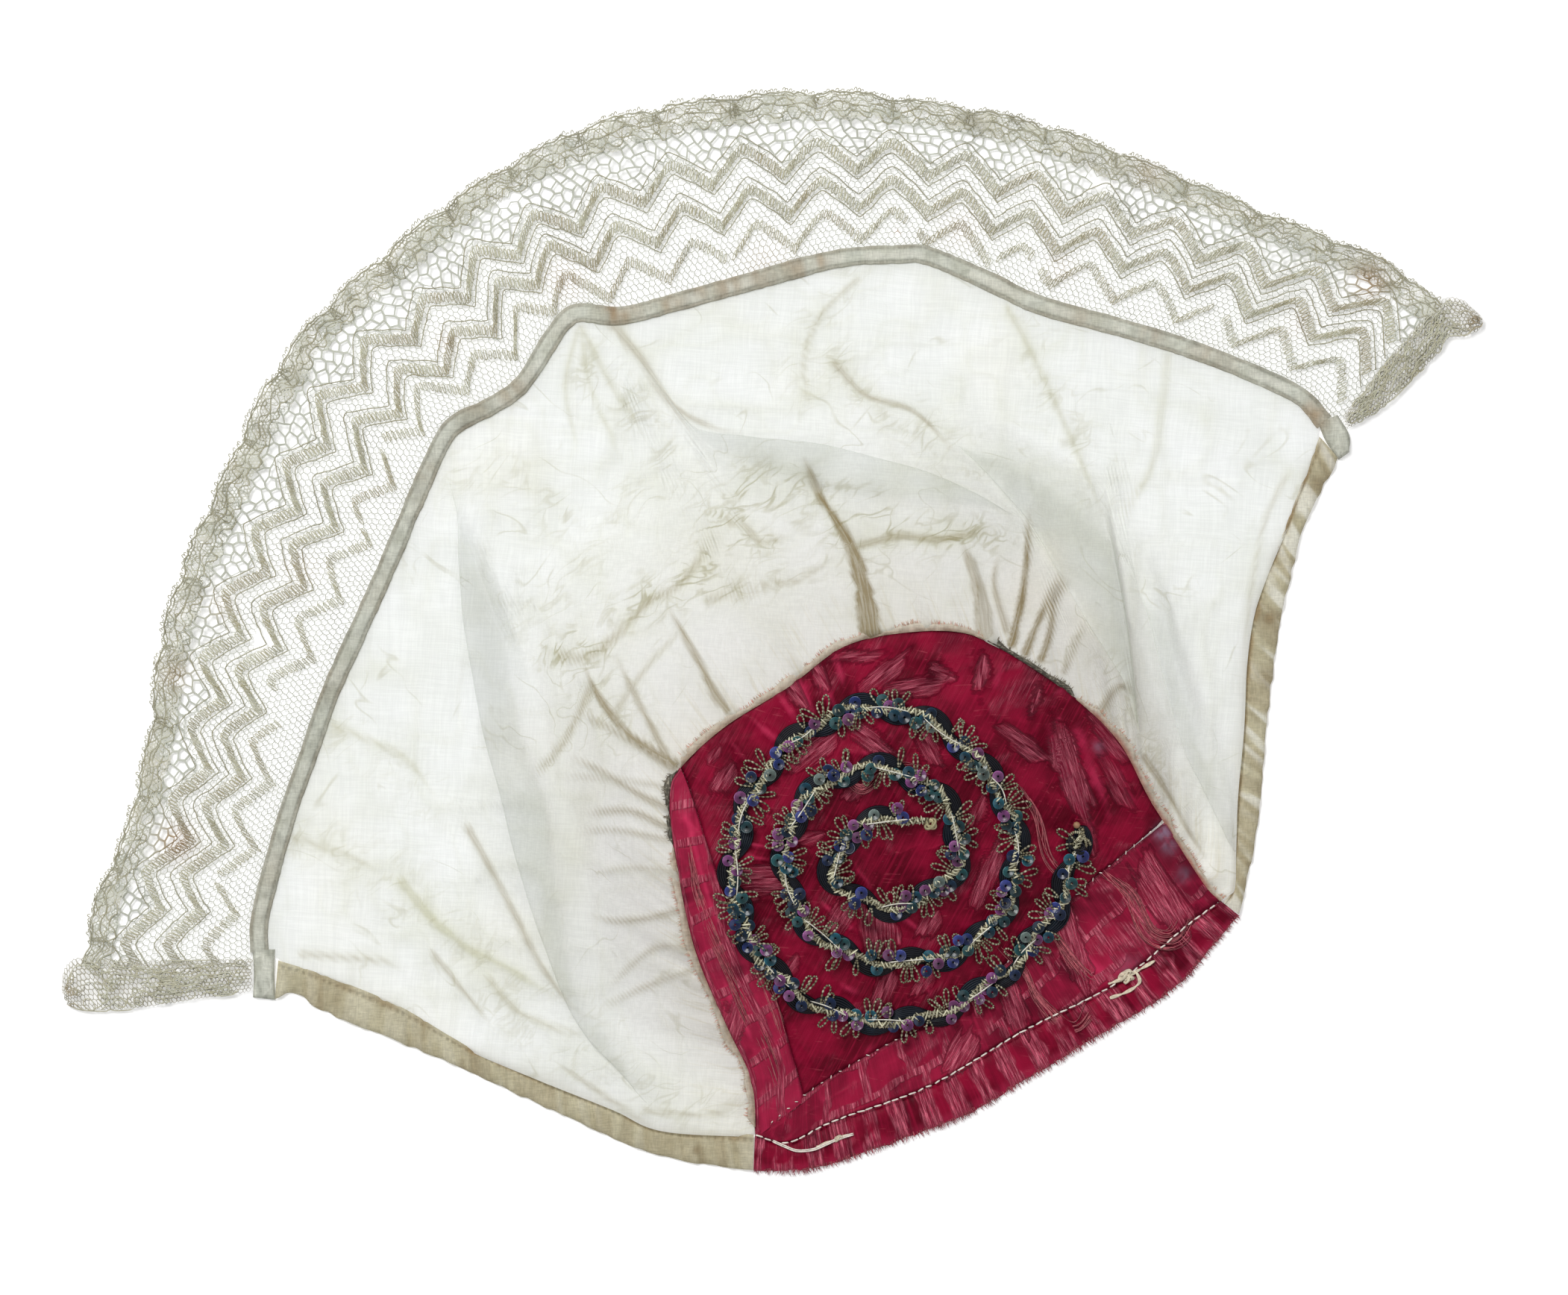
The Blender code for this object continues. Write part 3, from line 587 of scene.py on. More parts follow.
    def let_light_through(self, share, colour, normal=None):
        """Mixes in light that comes through the cloth from its other side."""
        through = self.add("ShaderNodeBsdfTranslucent", {"Color": colour})
        if normal is not None:
            self.set(through, {"Normal": normal})
        mixed = self.add("ShaderNodeMixShader", {0: share, 1: self.bsdf.outputs[0],
                                                 2: through.outputs[0]})
        output = next(n for n in self.tree.nodes if n.type == "OUTPUT_MATERIAL")
        self.tree.links.new(mixed.outputs[0], output.inputs["Surface"])


def muslin_shader():
    """Thin white cotton with fine crinkles and painted shade: grey where it lies double, browner in the
    pleats and gathers, dark crinkle lines; lighter and creamier near the crown, partly as painted light.
    """
    look = Shader("muslin", 0.95, 0.08)
    grey, tan, cream_and_painted_light, _ = look.tone()
    weave = look.weave(3.0, 0.08, 2.6, 3.0)
    split = look.add("ShaderNodeSeparateXYZ", {0: look.field("rays", (1.0, 1.0, 1.0))})
    near_seam, crumpled = split.outputs[1], split.outputs[2]
    # Thin crease and crinkle lines, drawn as painted shade
    lines, hatching = None, None
    for turn, scale, low, width, fine in (
        (38.0, (0.012, 0.060, 0.1), 0.50, 0.012, False), (-52.0, (0.012, 0.055, 0.1), 0.54, 0.012, False),
        (-34.0, (0.035, 0.170, 0.1), 0.38, 0.045, True), (-4.0, (0.035, 0.150, 0.1), 0.46, 0.035, True),
        (-68.0, (0.040, 0.160, 0.1), 0.46, 0.035, True),
    ):
        bend, bend_size, patch = (9.0, 13.0, 0.09) if fine else (14.0, 30.0, 0.045)
        wave = look.noise(1.0, look.turned(turn, scale, bend, bend_size), 2.0, 0.5)
        off = look.math("ABSOLUTE", look.math("SUBTRACT", wave, 0.5))
        line = look.step(off, 0.0, width, 1.0, 0.0)
        shown = look.step(look.noise(patch, look.turned(turn * 2.0), 2.0), low, low + 0.14)
        line = look.times(line, shown)
        if fine:
            hatching = look.most(hatching, line) if hatching else line
        else:
            lines = look.most(lines, line) if lines else line
    lines = look.times(lines, 0.28)
    lines = look.most(lines, look.times(hatching, look.times(crumpled, 0.70)))
    # Painted shade in the gathers near the crown seam
    gathers = look.step(look.noise(1.0, look.field("rays", (0.9, 0.05, 1.0)), 3.0), 0.50, 0.70)
    gathers = look.times(gathers, look.step(near_seam, 2.0, 30.0, 0.32, 0.0))
    streaks = look.noise(1.0, look.field("crease", (0.10, 1.3, 1.0)), 3.0)
    streaks = look.step(streaks, 0.36, 0.60, 0.66, 1.0)
    base = look.mix(look.step(look.noise(0.05, detail=4.0), 0.35, 0.65),
                    (0.905, 0.92, 0.900), (0.94, 0.953, 0.945))
    # The cloth's own cream tint, and painted light that makes it lighter near the crown
    base = look.mix(cream_and_painted_light, base, (0.99, 0.972, 0.905))
    # Painted shade: grey where the cloth lies double, dark crease lines, and browner gathers and pleats
    base = look.mix(grey, base, (0.66, 0.665, 0.47))
    base = look.mix(lines, base, (0.42, 0.395, 0.22))
    base = look.mix(gathers, base, (0.66, 0.60, 0.41))
    base = look.mix(look.times(tan, streaks), base, (0.33, 0.26, 0.135))
    base = look.scaled(base, look.step(weave, 0.75, 1.3, 0.94, 1.02))
    look.paint(base)
    relief = look.plus(look.times(weave, 0.3), look.times(lines, 1.2))
    normal = look.bump(look.plus(relief, look.times(tan, streaks)), 0.4, 0.5)
    look.let_light_through(0.55, base, normal)
    return look.material


def thread_shader(name, colour, dark):
    """Plain thread or net."""
    look = Shader(name, 0.9, 0.15)
    tone = look.tone()
    patches = look.step(look.noise(0.3), 0.35, 0.7)
    base = look.soiled_and_shaded(tone, patches, colour, dark, (0.82, 0.81, 0.70), (0.36, 0.22, 0.10))
    look.paint(base)
    look.let_light_through(0.15, base, look.bump(look.noise(4.0, detail=2.0), 0.3, 0.15))
    return look.material


def casing_shader(name, colour, dark, stained, thread_size=1.8):
    """Coarser woven cloth for the tape, the casings and the seam allowance."""
    look = Shader(name, 0.95, 0.08)
    tone = look.tone()
    weave = look.weave(0.0, 0.3, thread_size, 2.0)
    patches = look.step(look.noise(0.15, detail=4.0), 0.35, 0.65)
    base = look.soiled_and_shaded(tone, patches, colour, dark, (0.88, 0.87, 0.78), stained)
    base = look.scaled(base, look.step(weave, 0.7, 1.35, 0.84, 1.08))
    look.paint(base)
    look.let_light_through(0.3, base, look.bump(weave, 0.5, 0.4))
    return look.material


def brocade_shader(name, figure, worn):
    """Crimson silk whose pattern floats have worn to pink, fibrous streaks, with painted sheen and painted
    shade.

    The field weft gives coordinates across and along the floats, and a mask of their wear which also holds
    patches of painted sheen.
    """
    look = Shader(name, 0.42, 0.06)
    deep, pale, lilac, _ = look.tone()
    weft = look.field("weft", (1.0, 1.0, 1.0))
    patch = look.add("ShaderNodeSeparateXYZ", {0: weft}).outputs[2]
    streaks = look.noise(1.0, look.field("weft", (1.7, 0.13, 0.0)), 5.0, 0.66)
    hairs = look.noise(1.0, look.field("weft", (2.6, 0.12, 0.0)), 2.0, 0.5)
    # Broad mottling of the crimson, a painted sheen
    base = look.mix(look.step(look.noise(0.06, detail=4.0), 0.38, 0.62),
                    (0.100, 0.0011, 0.010), (0.245, 0.0038, 0.027))
    # Fine satin streaks of painted sheen
    satin = look.step(look.noise(1.0, look.field("weft", (1.2, 0.05, 0.0)), 2.0), 0.45, 0.70)
    base = look.mix(look.times(satin, 0.45), base, (0.33, 0.008, 0.042))
    # Painted highlight on the crown's crests; it also gives the strips an even lighter red and lightens
    # the hem's outer edge
    base = look.mix(pale, base, (0.54, 0.030, 0.095))
    mask = look.times(patch, 1.25)
    leaves = look.noise(0.085, look.turned(50.0, (1.0, 0.6, 1.0), 12.0, 16.0), 3.0, 0.55)
    mask = look.most(mask, look.step(leaves, 0.55, 0.76, 0.0, worn))
    if figure:
        across, high, warp, bar, stagger, low, top = figure
        bend = look.vector("SUBTRACT", look.noise(0.09, detail=2.0, colour=True), (0.5, 0.5, 0.5))
        place = look.vector("ADD", weft, look.vector("MULTIPLY", bend, (warp, warp, 0.0)))
        bricks = look.add("ShaderNodeTexBrick", {
            "Vector": place, "Scale": 1.0, "Color1": (0.0, 0.0, 0.0), "Color2": (0.0, 0.0, 0.0),
            "Mortar": (1.0, 1.0, 1.0), "Mortar Size": bar, "Mortar Smooth": 0.35,
            "Brick Width": across, "Row Height": high}, offset=stagger)
        left = look.step(look.noise(0.075, detail=3.0), low, top, 0.0, 1.0)
        mask = look.most(mask, look.times(bricks.outputs["Fac"], left))
    fibrous = look.times(mask, look.step(streaks, 0.36, 0.58, 0.12, 1.0))
    low, high = (0.24, 0.010, 0.038), (0.65, 0.150, 0.215)
    if figure:
        low, high = (0.42, 0.026, 0.075), (0.80, 0.190, 0.270)
    fibres = look.mix(look.step(hairs, 0.34, 0.66), low, high)
    base = look.mix(fibrous, base, fibres)
    scratches = look.noise(1.0, look.turned(97.0, (1.6, 0.07, 1.0), 14.0, 40.0), 2.0)
    base = look.mix(look.step(scratches, 0.66, 0.71, 0.0, 0.35), base, (0.42, 0.06, 0.09))
    base = look.mix(lilac, base, (0.32, 0.25, 0.36))
    # Painted shade in the hollows, rib hollows, dips and rolled edges
    base = look.mix(deep, base, (0.028, 0.0008, 0.005))
    look.paint(base)
    relief = look.times(look.plus(hairs, streaks), look.plus(fibrous, 0.25))
    look.bump(relief, 0.8, 0.7)
    return look.material


def dyed_shader(name, roughness, metallic=0.0, coat=0.0, bump_size=3.0, bump=0.3):
    """The tone is the colour itself, with a little unevenness."""
    look = Shader(name, roughness, 0.3, Metallic=metallic, **{"Coat Weight": coat})
    uneven = look.step(look.noise(0.8), 0.3, 0.7, 0.75, 1.15)
    look.paint(look.scaled(look.tone()[3], uneven))
    look.bump(look.noise(bump_size, detail=2.0), bump, 0.1)
    return look.material


# The crown

# The woven figures: width and height of the blocks, their warp, the width of the bars between
# them, the share by which rows are staggered, and two limits for how much of the bars is left
SIDE_FIGURE = (11.0, 12.0, 3.5, 1.7, 0.0, 0.30, 0.42)
STRIP_FIGURE = (14.0, 12.5, 6.0, 1.5, 0.35, 0.36, 0.50)
HEM_FIGURE = (9.5, 60.0, 7.0, 3.2, 0.0, 0.30, 0.42)

# The turn of the floats on the main panel, in degrees
FLOAT_TURN = 62.0

CROWN_CREASES = [
    # Puckers of the brocade: width, rise, points
    (3, 1, [(2, -20), (9, -30)]), (2.6, 1, [(8, -16), (14, -28)]),
    (2.6, 0.9, [(14, -12), (19, -24)]), (2.4, 0.7, [(20, -8), (23, -18)]),
    (2.8, 0.9, [(-7, -27), (3, -36)]), (2.6, 0.8, [(-15, -32), (-8, -42)]),
    (2.2, 0.6, [(62, -3), (64, -16)]), (2.4, 0.6, [(73, -8), (70, -20)]),
    (1.5, 0.8, [(-10, -67), (3, -69)]), (1.5, 0.9, [(-10, -71), (4, -73)]),
    (1.5, 0.9, [(-10, -75), (3, -77)]), (1.5, 0.8, [(-9, -79), (4, -81)]),
    (1.6, 0.7, [(-8, -84), (5, -85)]), (4.5, 1.2, [(87, -30), (93, -44), (101, -62)]),
    (3.5, 0.9, [(97, -32), (104, -50), (108, -62)]), (3, 0.8, [(108, -40), (115, -56)]),
    (2.5, 0.8, [(40, -31), (32, -38), (22, -38)]), (2.5, 0.7, [(58, -36), (62, -46)]),
    (2, 0.9, [(14, -84), (22, -92), (30, -97)]), (2, 0.9, [(20, -82), (30, -90), (40, -96)]),
    (2, 0.8, [(38, -88), (48, -96)]), (3, 0.8, [(66, -66), (70, -78), (64, -88)]),
    (3, 0.9, [(92, -88), (98, -100), (106, -110)]), (2.4, 0.9, [(110, -78), (118, -88), (124, -98)]),
    (2.2, 0.8, [(118, -74), (126, -84), (130, -92)]), (2.4, 0.7, [(74, -104), (80, -114)]),
    (2.4, 0.7, [(46, -108), (52, -118)]), (2.4, 0.6, [(20, -112), (30, -116)]),
    (2.6, 0.9, [(-27, -58), (-20, -84), (-12, -104)]), (2.2, 0.8, [(-22, -96), (-12, -118), (-4, -136)]),
]

WORN_AND_SHEEN = [
    # Patches worn pink, some of them pink painted sheen on the satin: x, y, length along the floats,
    # width, turn of the floats, strength
    (-15.6, -46.9, 10, 5, 60, 0.9), (-18.8, -39.8, 6, 3, 60, 0.5), (7.4, -19.4, 11, 4, -50, 0.8),
    (15, -14, 9, 4, -55, 0.7), (27, -8, 13, 3.5, 5, 0.6), (35.5, -13, 15, 5, 40, 0.7),
    (46, -17.5, 17, 5, 10, 0.7), (53, -13, 9, 4, -20, 0.6), (66, -13.7, 11, 4, 85, 0.9),
    (82.7, -23.2, 11, 2.5, 75, 0.6), (80, -36, 15, 5, -35, 0.9), (95.4, -46.2, 26, 7, -72, 1),
    (91.6, -38, 13, 6, -80, 0.9), (108, -33.5, 19, 7, -50, 0.55), (109.5, -48.8, 15, 5, -60, 0.5),
    (30.3, -33.5, 16, 5, -35, 0.9), (13.8, -37.3, 15, 6, 40, 0.85), (49.5, -36, 13, 5, -60, 0.7),
    (25.2, -51.3, 7, 4, 50, 0.6), (68.6, -76.8, 19, 5, 70, 1), (33, -94.7, 17, 11, 95, 1),
    (21.4, -90.9, 11, 6, 60, 0.9), (49.5, -93.4, 9, 5, 60, 0.7), (-2.8, -78, 15, 9, 2, 0.8),
    (4.8, -107.5, 9, 4, 60, 0.6), (35.5, -113.8, 13, 5, 70, 0.7), (48.2, -112, 11, 4, 60, 0.6),
    (77.6, -120, 15, 6, -70, 0.8), (95.4, -99.8, 27, 6, -72, 1), (124.8, -84.5, 23, 10, -58, 0.9),
    (11.2, -65.4, 9, 4, 20, 0.5), (64.8, -57.7, 11, 4, 70, 0.5), (101, -66, 9, 4, -70, 0.6),
    (-14, -128, 20, 6, 75, 0.7), (60, -134, 12, 8, 62, 0.6),
]

LILAC = [
    # Spots worn through to the lilac lining: x, y, radius, strength
    (124.5, -64.5, 2.6, 0.9), (126.5, -68.5, 2.4, 0.8), (131, -77.5, 2.2, 0.8), (103.5, -37, 2, 0.5),
    (114, -108, 4, 0.3),
]

FLOATS = [
    # Bundles of loose weft threads on the crown: strands, spread in mm, points in plan
    (26, 7, [(105, -76), (114, -84), (120, -96), (128, -98), (134, -90)]),
    (18, 5, [(72, -100), (80, -108), (86, -118), (96, -126), (103, -118)]),
    (16, 4, [(84, -88), (92, -100), (100, -110), (105, -112)]),
    (20, 5, [(-28, -62), (-22, -88), (-12, -112), (-2, -134), (3, -150)]),
    (14, 3, [(-16, -80), (-8, -100), (0, -118), (5, -136)]),
    (16, 6, [(20, -42), (28, -50), (36, -44), (50, -46)]),
    (12, 4, [(76, -46), (84, -58), (88, -72), (96, -80)]),
]

# Where each trim begins and ends along the crown seam, in mm
EDGINGS = {
    "selvage_left": (2, 96),
    "galloon_left": (97, 121),
    "selvage_top": (122.5, 232.5),
    "galloon_right": (233.5, 266),
    "selvage_right": (267, 352),
}


def silk_wear_and_sheen(x, y, u, v):
    """Coordinates across and along the floats, and a mask of their wear and of painted sheen."""
    mask = np.zeros_like(x)
    for px, py, long, wide, turn, strength in WORN_AND_SHEEN:
        along, across = turned_about(x, y, px, py, turn)
        ragged = 1 + 0.35 * noise(across, along * 0.2, 1.3, 35)
        here = strength * (1 - ease((np.hypot(2 * along / long, 2 * across / wide) * ragged - 0.75) / 0.5))
        stronger = here > np.maximum(mask, 0.02)
        u, v = np.where(stronger, across, u), np.where(stronger, along, v)
        mask = np.maximum(mask, here)
    return np.stack([u, v, mask], axis=-1)


def crown_tone(x, y, deep, pale=0.0):
    """Tone of the brocade: painted shade in the hollows, painted highlight on the crests, lilac where it
    is worn through.
    """
    hollow = crown_surface(x, y) - crown_height(x, y)
    # Painted shade in the hollows and painted highlight on the crests, from the height of the relief
    dark = deep + 0.55 * ease((0.15 - hollow) / 0.6)
    painted_highlight = pale + 0.60 * ease((hollow - 0.6) / 0.9)
    lilac = stain_at(x, y, LILAC) * (0.6 + 0.4 * noise(x, y, 1.2, 37))
    return tones(dark, painted_highlight, lilac)


def rim_of_panel():
    """The main panel's outline: along the crown seam, the nape seam and the side seam."""
    nape, side = Path(NAPE_SEAM), Path(SIDE_SEAM)
    corner_mm, nape_mm = SEAM.nearest(SIDE_SEAM[0]), SEAM.nearest(NAPE_SEAM[-1])
    meets = nape.nearest(SIDE_SEAM[-1])
    top = SEAM.at(np.linspace(corner_mm, nape_mm, 170, endpoint=False))
    bottom = nape.at(np.linspace(nape.length, meets, 110, endpoint=False))
    left = side.at(np.linspace(side.length, 0, 90, endpoint=False))
    return np.vstack([top, bottom, left])


def crown_panel():
    """The main panel of the crown, from the spiral's middle out to its seams."""
    rim, middle = rim_of_panel(), np.array(SPIRAL_CENTRE)
    rings = 84
    share = (np.arange(rings + 1) / rings)[:, None]
    plan = middle + (rim - middle) * np.maximum(share, 0.0006)[..., None]
    x, y = plan[..., 0], plan[..., 1]
    edge = np.broadcast_to(share, x.shape)
    z = crown_surface(x, y) - 0.7 * ease((edge - 0.985) / 0.015)
    # Painted shade along the panel's seams, where its edge dips
    tone = crown_tone(x, y, 0.55 * ease((edge - 0.98) / 0.02))
    c, s = math.cos(math.radians(FLOAT_TURN)), math.sin(math.radians(FLOAT_TURN))
    weft = silk_wear_and_sheen(x, y, x * s - y * c, x * c + y * s)
    faces = grid_faces(rings + 1, len(rim), wrap=True)
    look = brocade_shader("brocade_main", None, 0.55)
    return piece("crown_brocade", np.dstack([x, y, z]), faces, look, "brocade", ("crown_panel",), tone,
                 weft=weft)


def crown_strip(name, first, second, steps, wide, look, node, lift, floats_along, far_end=None):
    """A strip of the crown between two lines, with coordinates for its woven figure."""
    u, v = np.linspace(0, 1, steps), np.linspace(0, 1, wide)
    a, b = first(u), second(u)
    grid = between(a, b, v)
    if far_end is not None:
        grid = grid + (far_end(v) - grid[-1])[None] * (ease((u - 0.9) / 0.1))[:, None, None]
    x, y = grid[..., 0], grid[..., 1]
    mm = np.concatenate([[0.0], np.cumsum(np.hypot(*np.diff((a + b) / 2, axis=0).T))])[:, None] + 0 * x
    across = np.linalg.norm(b - a, axis=1)[:, None] * v[None]
    rib_along, rib_across = (0.2, 1) if floats_along else (1, 0.2)
    rib = 0.35 * noise(mm * rib_along, across * rib_across, 1.6, 23)
    rolled = ease((np.abs(2 * v - 1) - 0.9) / 0.1)[None]
    z = crown_surface(x, y) + lift + rib - 0.8 * rolled
    # Painted shade at the rolled edges and in the rib hollows; the even lighter red is partly the strip's
    # own colour and partly painted light against its slope
    tone = crown_tone(x, y, 0.5 * rolled + 0.15 * clamp(-rib * 3), 0.45 if floats_along else 0.20)
    weft = silk_wear_and_sheen(x, y, across, mm) if floats_along else silk_wear_and_sheen(x, y, mm, across)
    return surface(name, np.dstack([x, y, z]), look, "brocade_worn", (node,), tone, weft=weft)


def nape_hem_piece(look):
    """The hem along the nape: a flat roll, gathered into ribs, with a frayed edge."""
    hem = Path(HEM_TOP)
    u, v, a, b, grid = ribbon(hem, Path(NAPE_EDGE), 300, 24)
    fray = 0.3 * ripple(u * 190, 1.2, 24) + 0.4 * ripple(u * 190, 5.0, 25)
    grid = grid + unit(b - a)[:, None] * (fray[:, None] * (v**4)[None])[..., None]
    x, y = grid[..., 0], grid[..., 1]
    mm = (u * hem.length)[:, None] + 0 * x
    across = np.linalg.norm(b - a, axis=1)[:, None] * v[None]
    rib = noise(mm, across * 0.15, 1.4, 26) + 0.5 * noise(mm, across * 0.1, 4.0, 30)
    dip = bell(v / 0.06)[None]
    z = 0.4 + 1.5 * (1 - (2 * v - 1) ** 4)[None] + 0.35 * rib * (1 - dip) - 0.5 * dip
    # Painted shade in the hollows between the ribs and in the dip along the hem's top
    deep = 0.45 * clamp(-rib) + 0.2 * dip
    tone = tones(deep, 0.45 * ease((v - 0.7) / 0.3)[None], 0 * x)
    return surface("nape_hem_brocade", np.dstack([x, y, np.maximum(z, 0.15)]), look, "brocade",
                   ("nape_hem",), tone, weft=silk_wear_and_sheen(x, y, mm, across + 3.0))


def loose_silk(dyed):
    """Bundles of loose weft threads on the crown, and the fray along the nape."""
    low, parts = Path(NAPE_EDGE), []
    for strands, spread, points in FLOATS:
        line, lines = Path(points), []
        for k in range(strands):
            begin, end = rng.uniform(0, 0.25), rng.uniform(0.7, 1.0)
            t = np.linspace(0, 1, 30)
            mm = (begin + (end - begin) * t) * line.length
            side = rng.uniform(-0.5, 0.5) * spread * (0.35 + 0.65 * t**0.8)
            spot = line.beside(mm, side + 0.8 * ripple(mm, 9.0, 300 + k))
            up = crown_surface(spot[:, 0], spot[:, 1]) + 0.15 + 0.25 * rng.uniform()
            up[[0, -1]] -= 0.4
            lines.append(np.column_stack([spot, np.maximum(up, 0.5)]))
        shade = shades(0.5, 1.25, strands, 30 * 3, (0.50, 0.13, 0.155))
        parts.append(threads(np.array(lines), 0.15, shade))
    count = 800
    at = np.sort(rng.uniform(0, 1, count)) * low.length
    base, out = low.at(at), -low.left_of(at)
    t = np.linspace(0, 1, 4)[None, :, None] * (1.6 + rng.uniform(0.3, 1.9, (count, 1, 1))) - 1.6
    sideways = left(out)
    bend = rng.uniform(-0.5, 0.5, (count, 1, 1)) * np.clip(t, 0, None) ** 1.4
    spot = base[:, None] + out[:, None] * t + sideways[:, None] * bend
    lines = np.concatenate([spot, 0.9 - 0.25 * np.clip(t, 0, 2)], axis=-1)
    parts.append(threads(lines, 0.12, shades(0.5, 1.2, count, 12, (0.42, 0.085, 0.115))))
    return joined("brocade_loose_threads", parts, dyed, "brocade_worn")


LOOSE_END = [(0, -162.4), (4, -164.2), (8, -165.6), (13, -165.2), (17, -163.6), (21, -161.8), (26, -160.2)]
STITCH_KNOTS = [
    # A knot of the running stitch: centre, size, tail
    ((112.5, -109.5), 3.0, [(122, -105), (116, -108.5), (111, -111), (107, -112.5)]),
    ((113.5, -111), 2.0, [(116, -108.5), (117, -112), (113, -115), (107.5, -117)]),
    ((21, -161.6), 1.6, [(24.5, -160.4), (19.5, -162.4), (14, -164.4)]),
]


def stitch_row(line, pitch, length, lift, height_at, radius, tone, wobble=0.2):
    """Short raised stitches along a line."""
    count = int(line.length / pitch)
    mm = (np.arange(count) + 0.5) * pitch + rng.uniform(-0.15, 0.15, count)
    t = np.linspace(-0.5, 0.5, 7)
    places = line.at(mm[:, None] + t[None] * length * rng.uniform(0.8, 1.15, (count, 1)))
    slant = rng.uniform(-wobble, wobble, (count, 1, 1)) * t[None, :, None] * 2
    places = places + line.left_of(mm)[:, None] * slant
    up = height_at(places[..., 0], places[..., 1]) + lift + 0.25 * np.cos(t * math.pi)[None]
    return threads(np.dstack([places, up]), radius, tone, 4)


def stitching(hem, nape, dyed):
    """The white running stitch on the hem with its knots, and the seam's tiny stitches."""
    white, cream = np.array((0.86, 0.80, 0.72)), np.array((0.68, 0.60, 0.46))

    def on_hem(x, y):
        return np.maximum(crown_surface(x, y), 1.7)

    parts = [stitch_row(hem, 2.9, 2.45, 0.25, on_hem, 0.27, white),
             stitch_row(nape, 3.4, 0.9, 0.45, crown_surface, 0.16, white * 0.95, 0.5)]
    tail_end = Path(LOOSE_END)
    mm = np.linspace(0, tail_end.length, 50)
    for shift in (-0.25, 0.25):
        spot = tail_end.beside(mm, shift)
        parts.append(threads(np.column_stack([spot, 2.5 + 0 * mm])[None], 0.22, white, 4))
    for (kx, ky), size, tail in STITCH_KNOTS:
        turn = np.linspace(0, math.tau * 5, 110)
        radius = size * (0.10 + 0.75 * np.abs(np.sin(turn * 0.37)))
        u, v = radius * np.cos(turn), 0.4 * radius * np.sin(turn * 1.3)
        spot = np.column_stack([kx + 0.86 * u - 0.5 * v, ky + 0.5 * u + 0.86 * v])
        up = on_hem(spot[:, 0], spot[:, 1]) + 0.6 + 0.4 * np.sin(turn * 1.7)
        parts.append(threads([np.column_stack([spot, up])], 0.33, cream, 4))
        line = Path(tail)
        for shift in (-0.35, 0.0, 0.35):
            mm = np.linspace(0, line.length, 40)
            spot = line.beside(mm, shift * np.sin(mm * 0.6))
            up = on_hem(spot[:, 0], spot[:, 1]) + 0.5
            parts.append(threads([np.column_stack([spot, up])], 0.26, cream * 1.05, 4))
    return joined("crown_stitches", parts, dyed, "selvage")


def frayed(base, out, lengths, colours, height, slant=0.3):
    """Short loose threads that stand out from an edge."""
    count = len(base)
    t = np.linspace(0, 1, 4)[None, :, None]
    sideways = left(out)[:, None]
    reach = (0.3 + lengths)[:, None, None] * t - 0.3
    bend = rng.uniform(-slant, slant, (count, 1, 1)) * np.clip(reach, 0, None) ** 1.3
    spot = base[:, None] + out[:, None] * reach + sideways * bend
    up = (height(spot[..., 0], spot[..., 1]) - 0.15 * t[..., 0])[..., None]
    return threads(np.concatenate([spot, up], axis=-1), 0.11, np.repeat(colours, 12, axis=0))


def edgings(dyed):
    """Seam allowance and tarnished galloon that peek out round the crown."""
    colours = (0.62, 0.53, 0.42), (0.50, 0.39, 0.28), (0.50, 0.20, 0.16)
    look = {"selvage": casing_shader("selvage", *colours),
            "galloon": dyed_shader("galloon", 0.5, 0.5, bump=0.5)}
    shown, hairs = [], []
    for name, (begin, end) in EDGINGS.items():
        kind = name.split("_")[0]
        mm = np.linspace(begin, end, int((end - begin) * 3))
        v = np.linspace(0, 1, 12)
        width = (2.2 if kind == "selvage" else 1.8) * (1 + 0.45 * ripple(mm, 5.0, 27))
        width = width * np.clip(np.minimum(mm - begin, end - mm) / 3.0, 0.15, 1) ** 0.5
        base, out = SEAM.at(mm), SEAM.left_of(mm)
        plan = base[:, None] + out[:, None] * (-0.3 + v[None] * width[:, None])[..., None]
        x, y = plan[..., 0], plan[..., 1]
        z = crown_height(x, y) + 0.35 + 0.5 * np.sin(v * math.pi)[None] + 0.3 * noise(x, y, 1.6, 28)
        if kind == "selvage":
            pink = 0.65 * (name == "selvage_right") + 0.2
            pinkness = pink * (1 - ease(v[None] * 1.3)) * (0.7 + 0.6 * noise(x, y, 2.5, 31))
            tone = tones(0.4 * (1 - v)[None] * clamp(noise(x, y, 1.2, 32) + 0.5), pinkness, 0.45 * v[None])
        else:
            weave = 0.35 + 1.5 * ridges(x, y, 0.8, 29) ** 2
            tone = weave[..., None] * np.array((0.27, 0.245, 0.19))
        made = surface(name + "_cloth", np.dstack([x, y, z]), look[kind], kind, (name,), tone)
        shown.append(made)
        count = int((end - begin) * 2.6)
        at = rng.uniform(begin + 1, end - 1, count)
        out = SEAM.left_of(at)
        edge = SEAM.at(at) + out * np.interp(at, mm, width - 0.5)[:, None]
        pale = np.array((0.60, 0.50, 0.38)) if kind == "selvage" else np.array((0.24, 0.21, 0.16))
        rosy = rng.uniform(0, 1, (count, 1)) ** 2 * np.array((0.1, -0.25, -0.18)) * (kind == "selvage")
        hairs.append(frayed(edge, out, rng.uniform(0.2, 1.5, count), pale + rosy,
                            lambda px, py: crown_height(px, py) + 0.6))
    return shown + [joined("edging_threads", hairs, dyed, "selvage")]


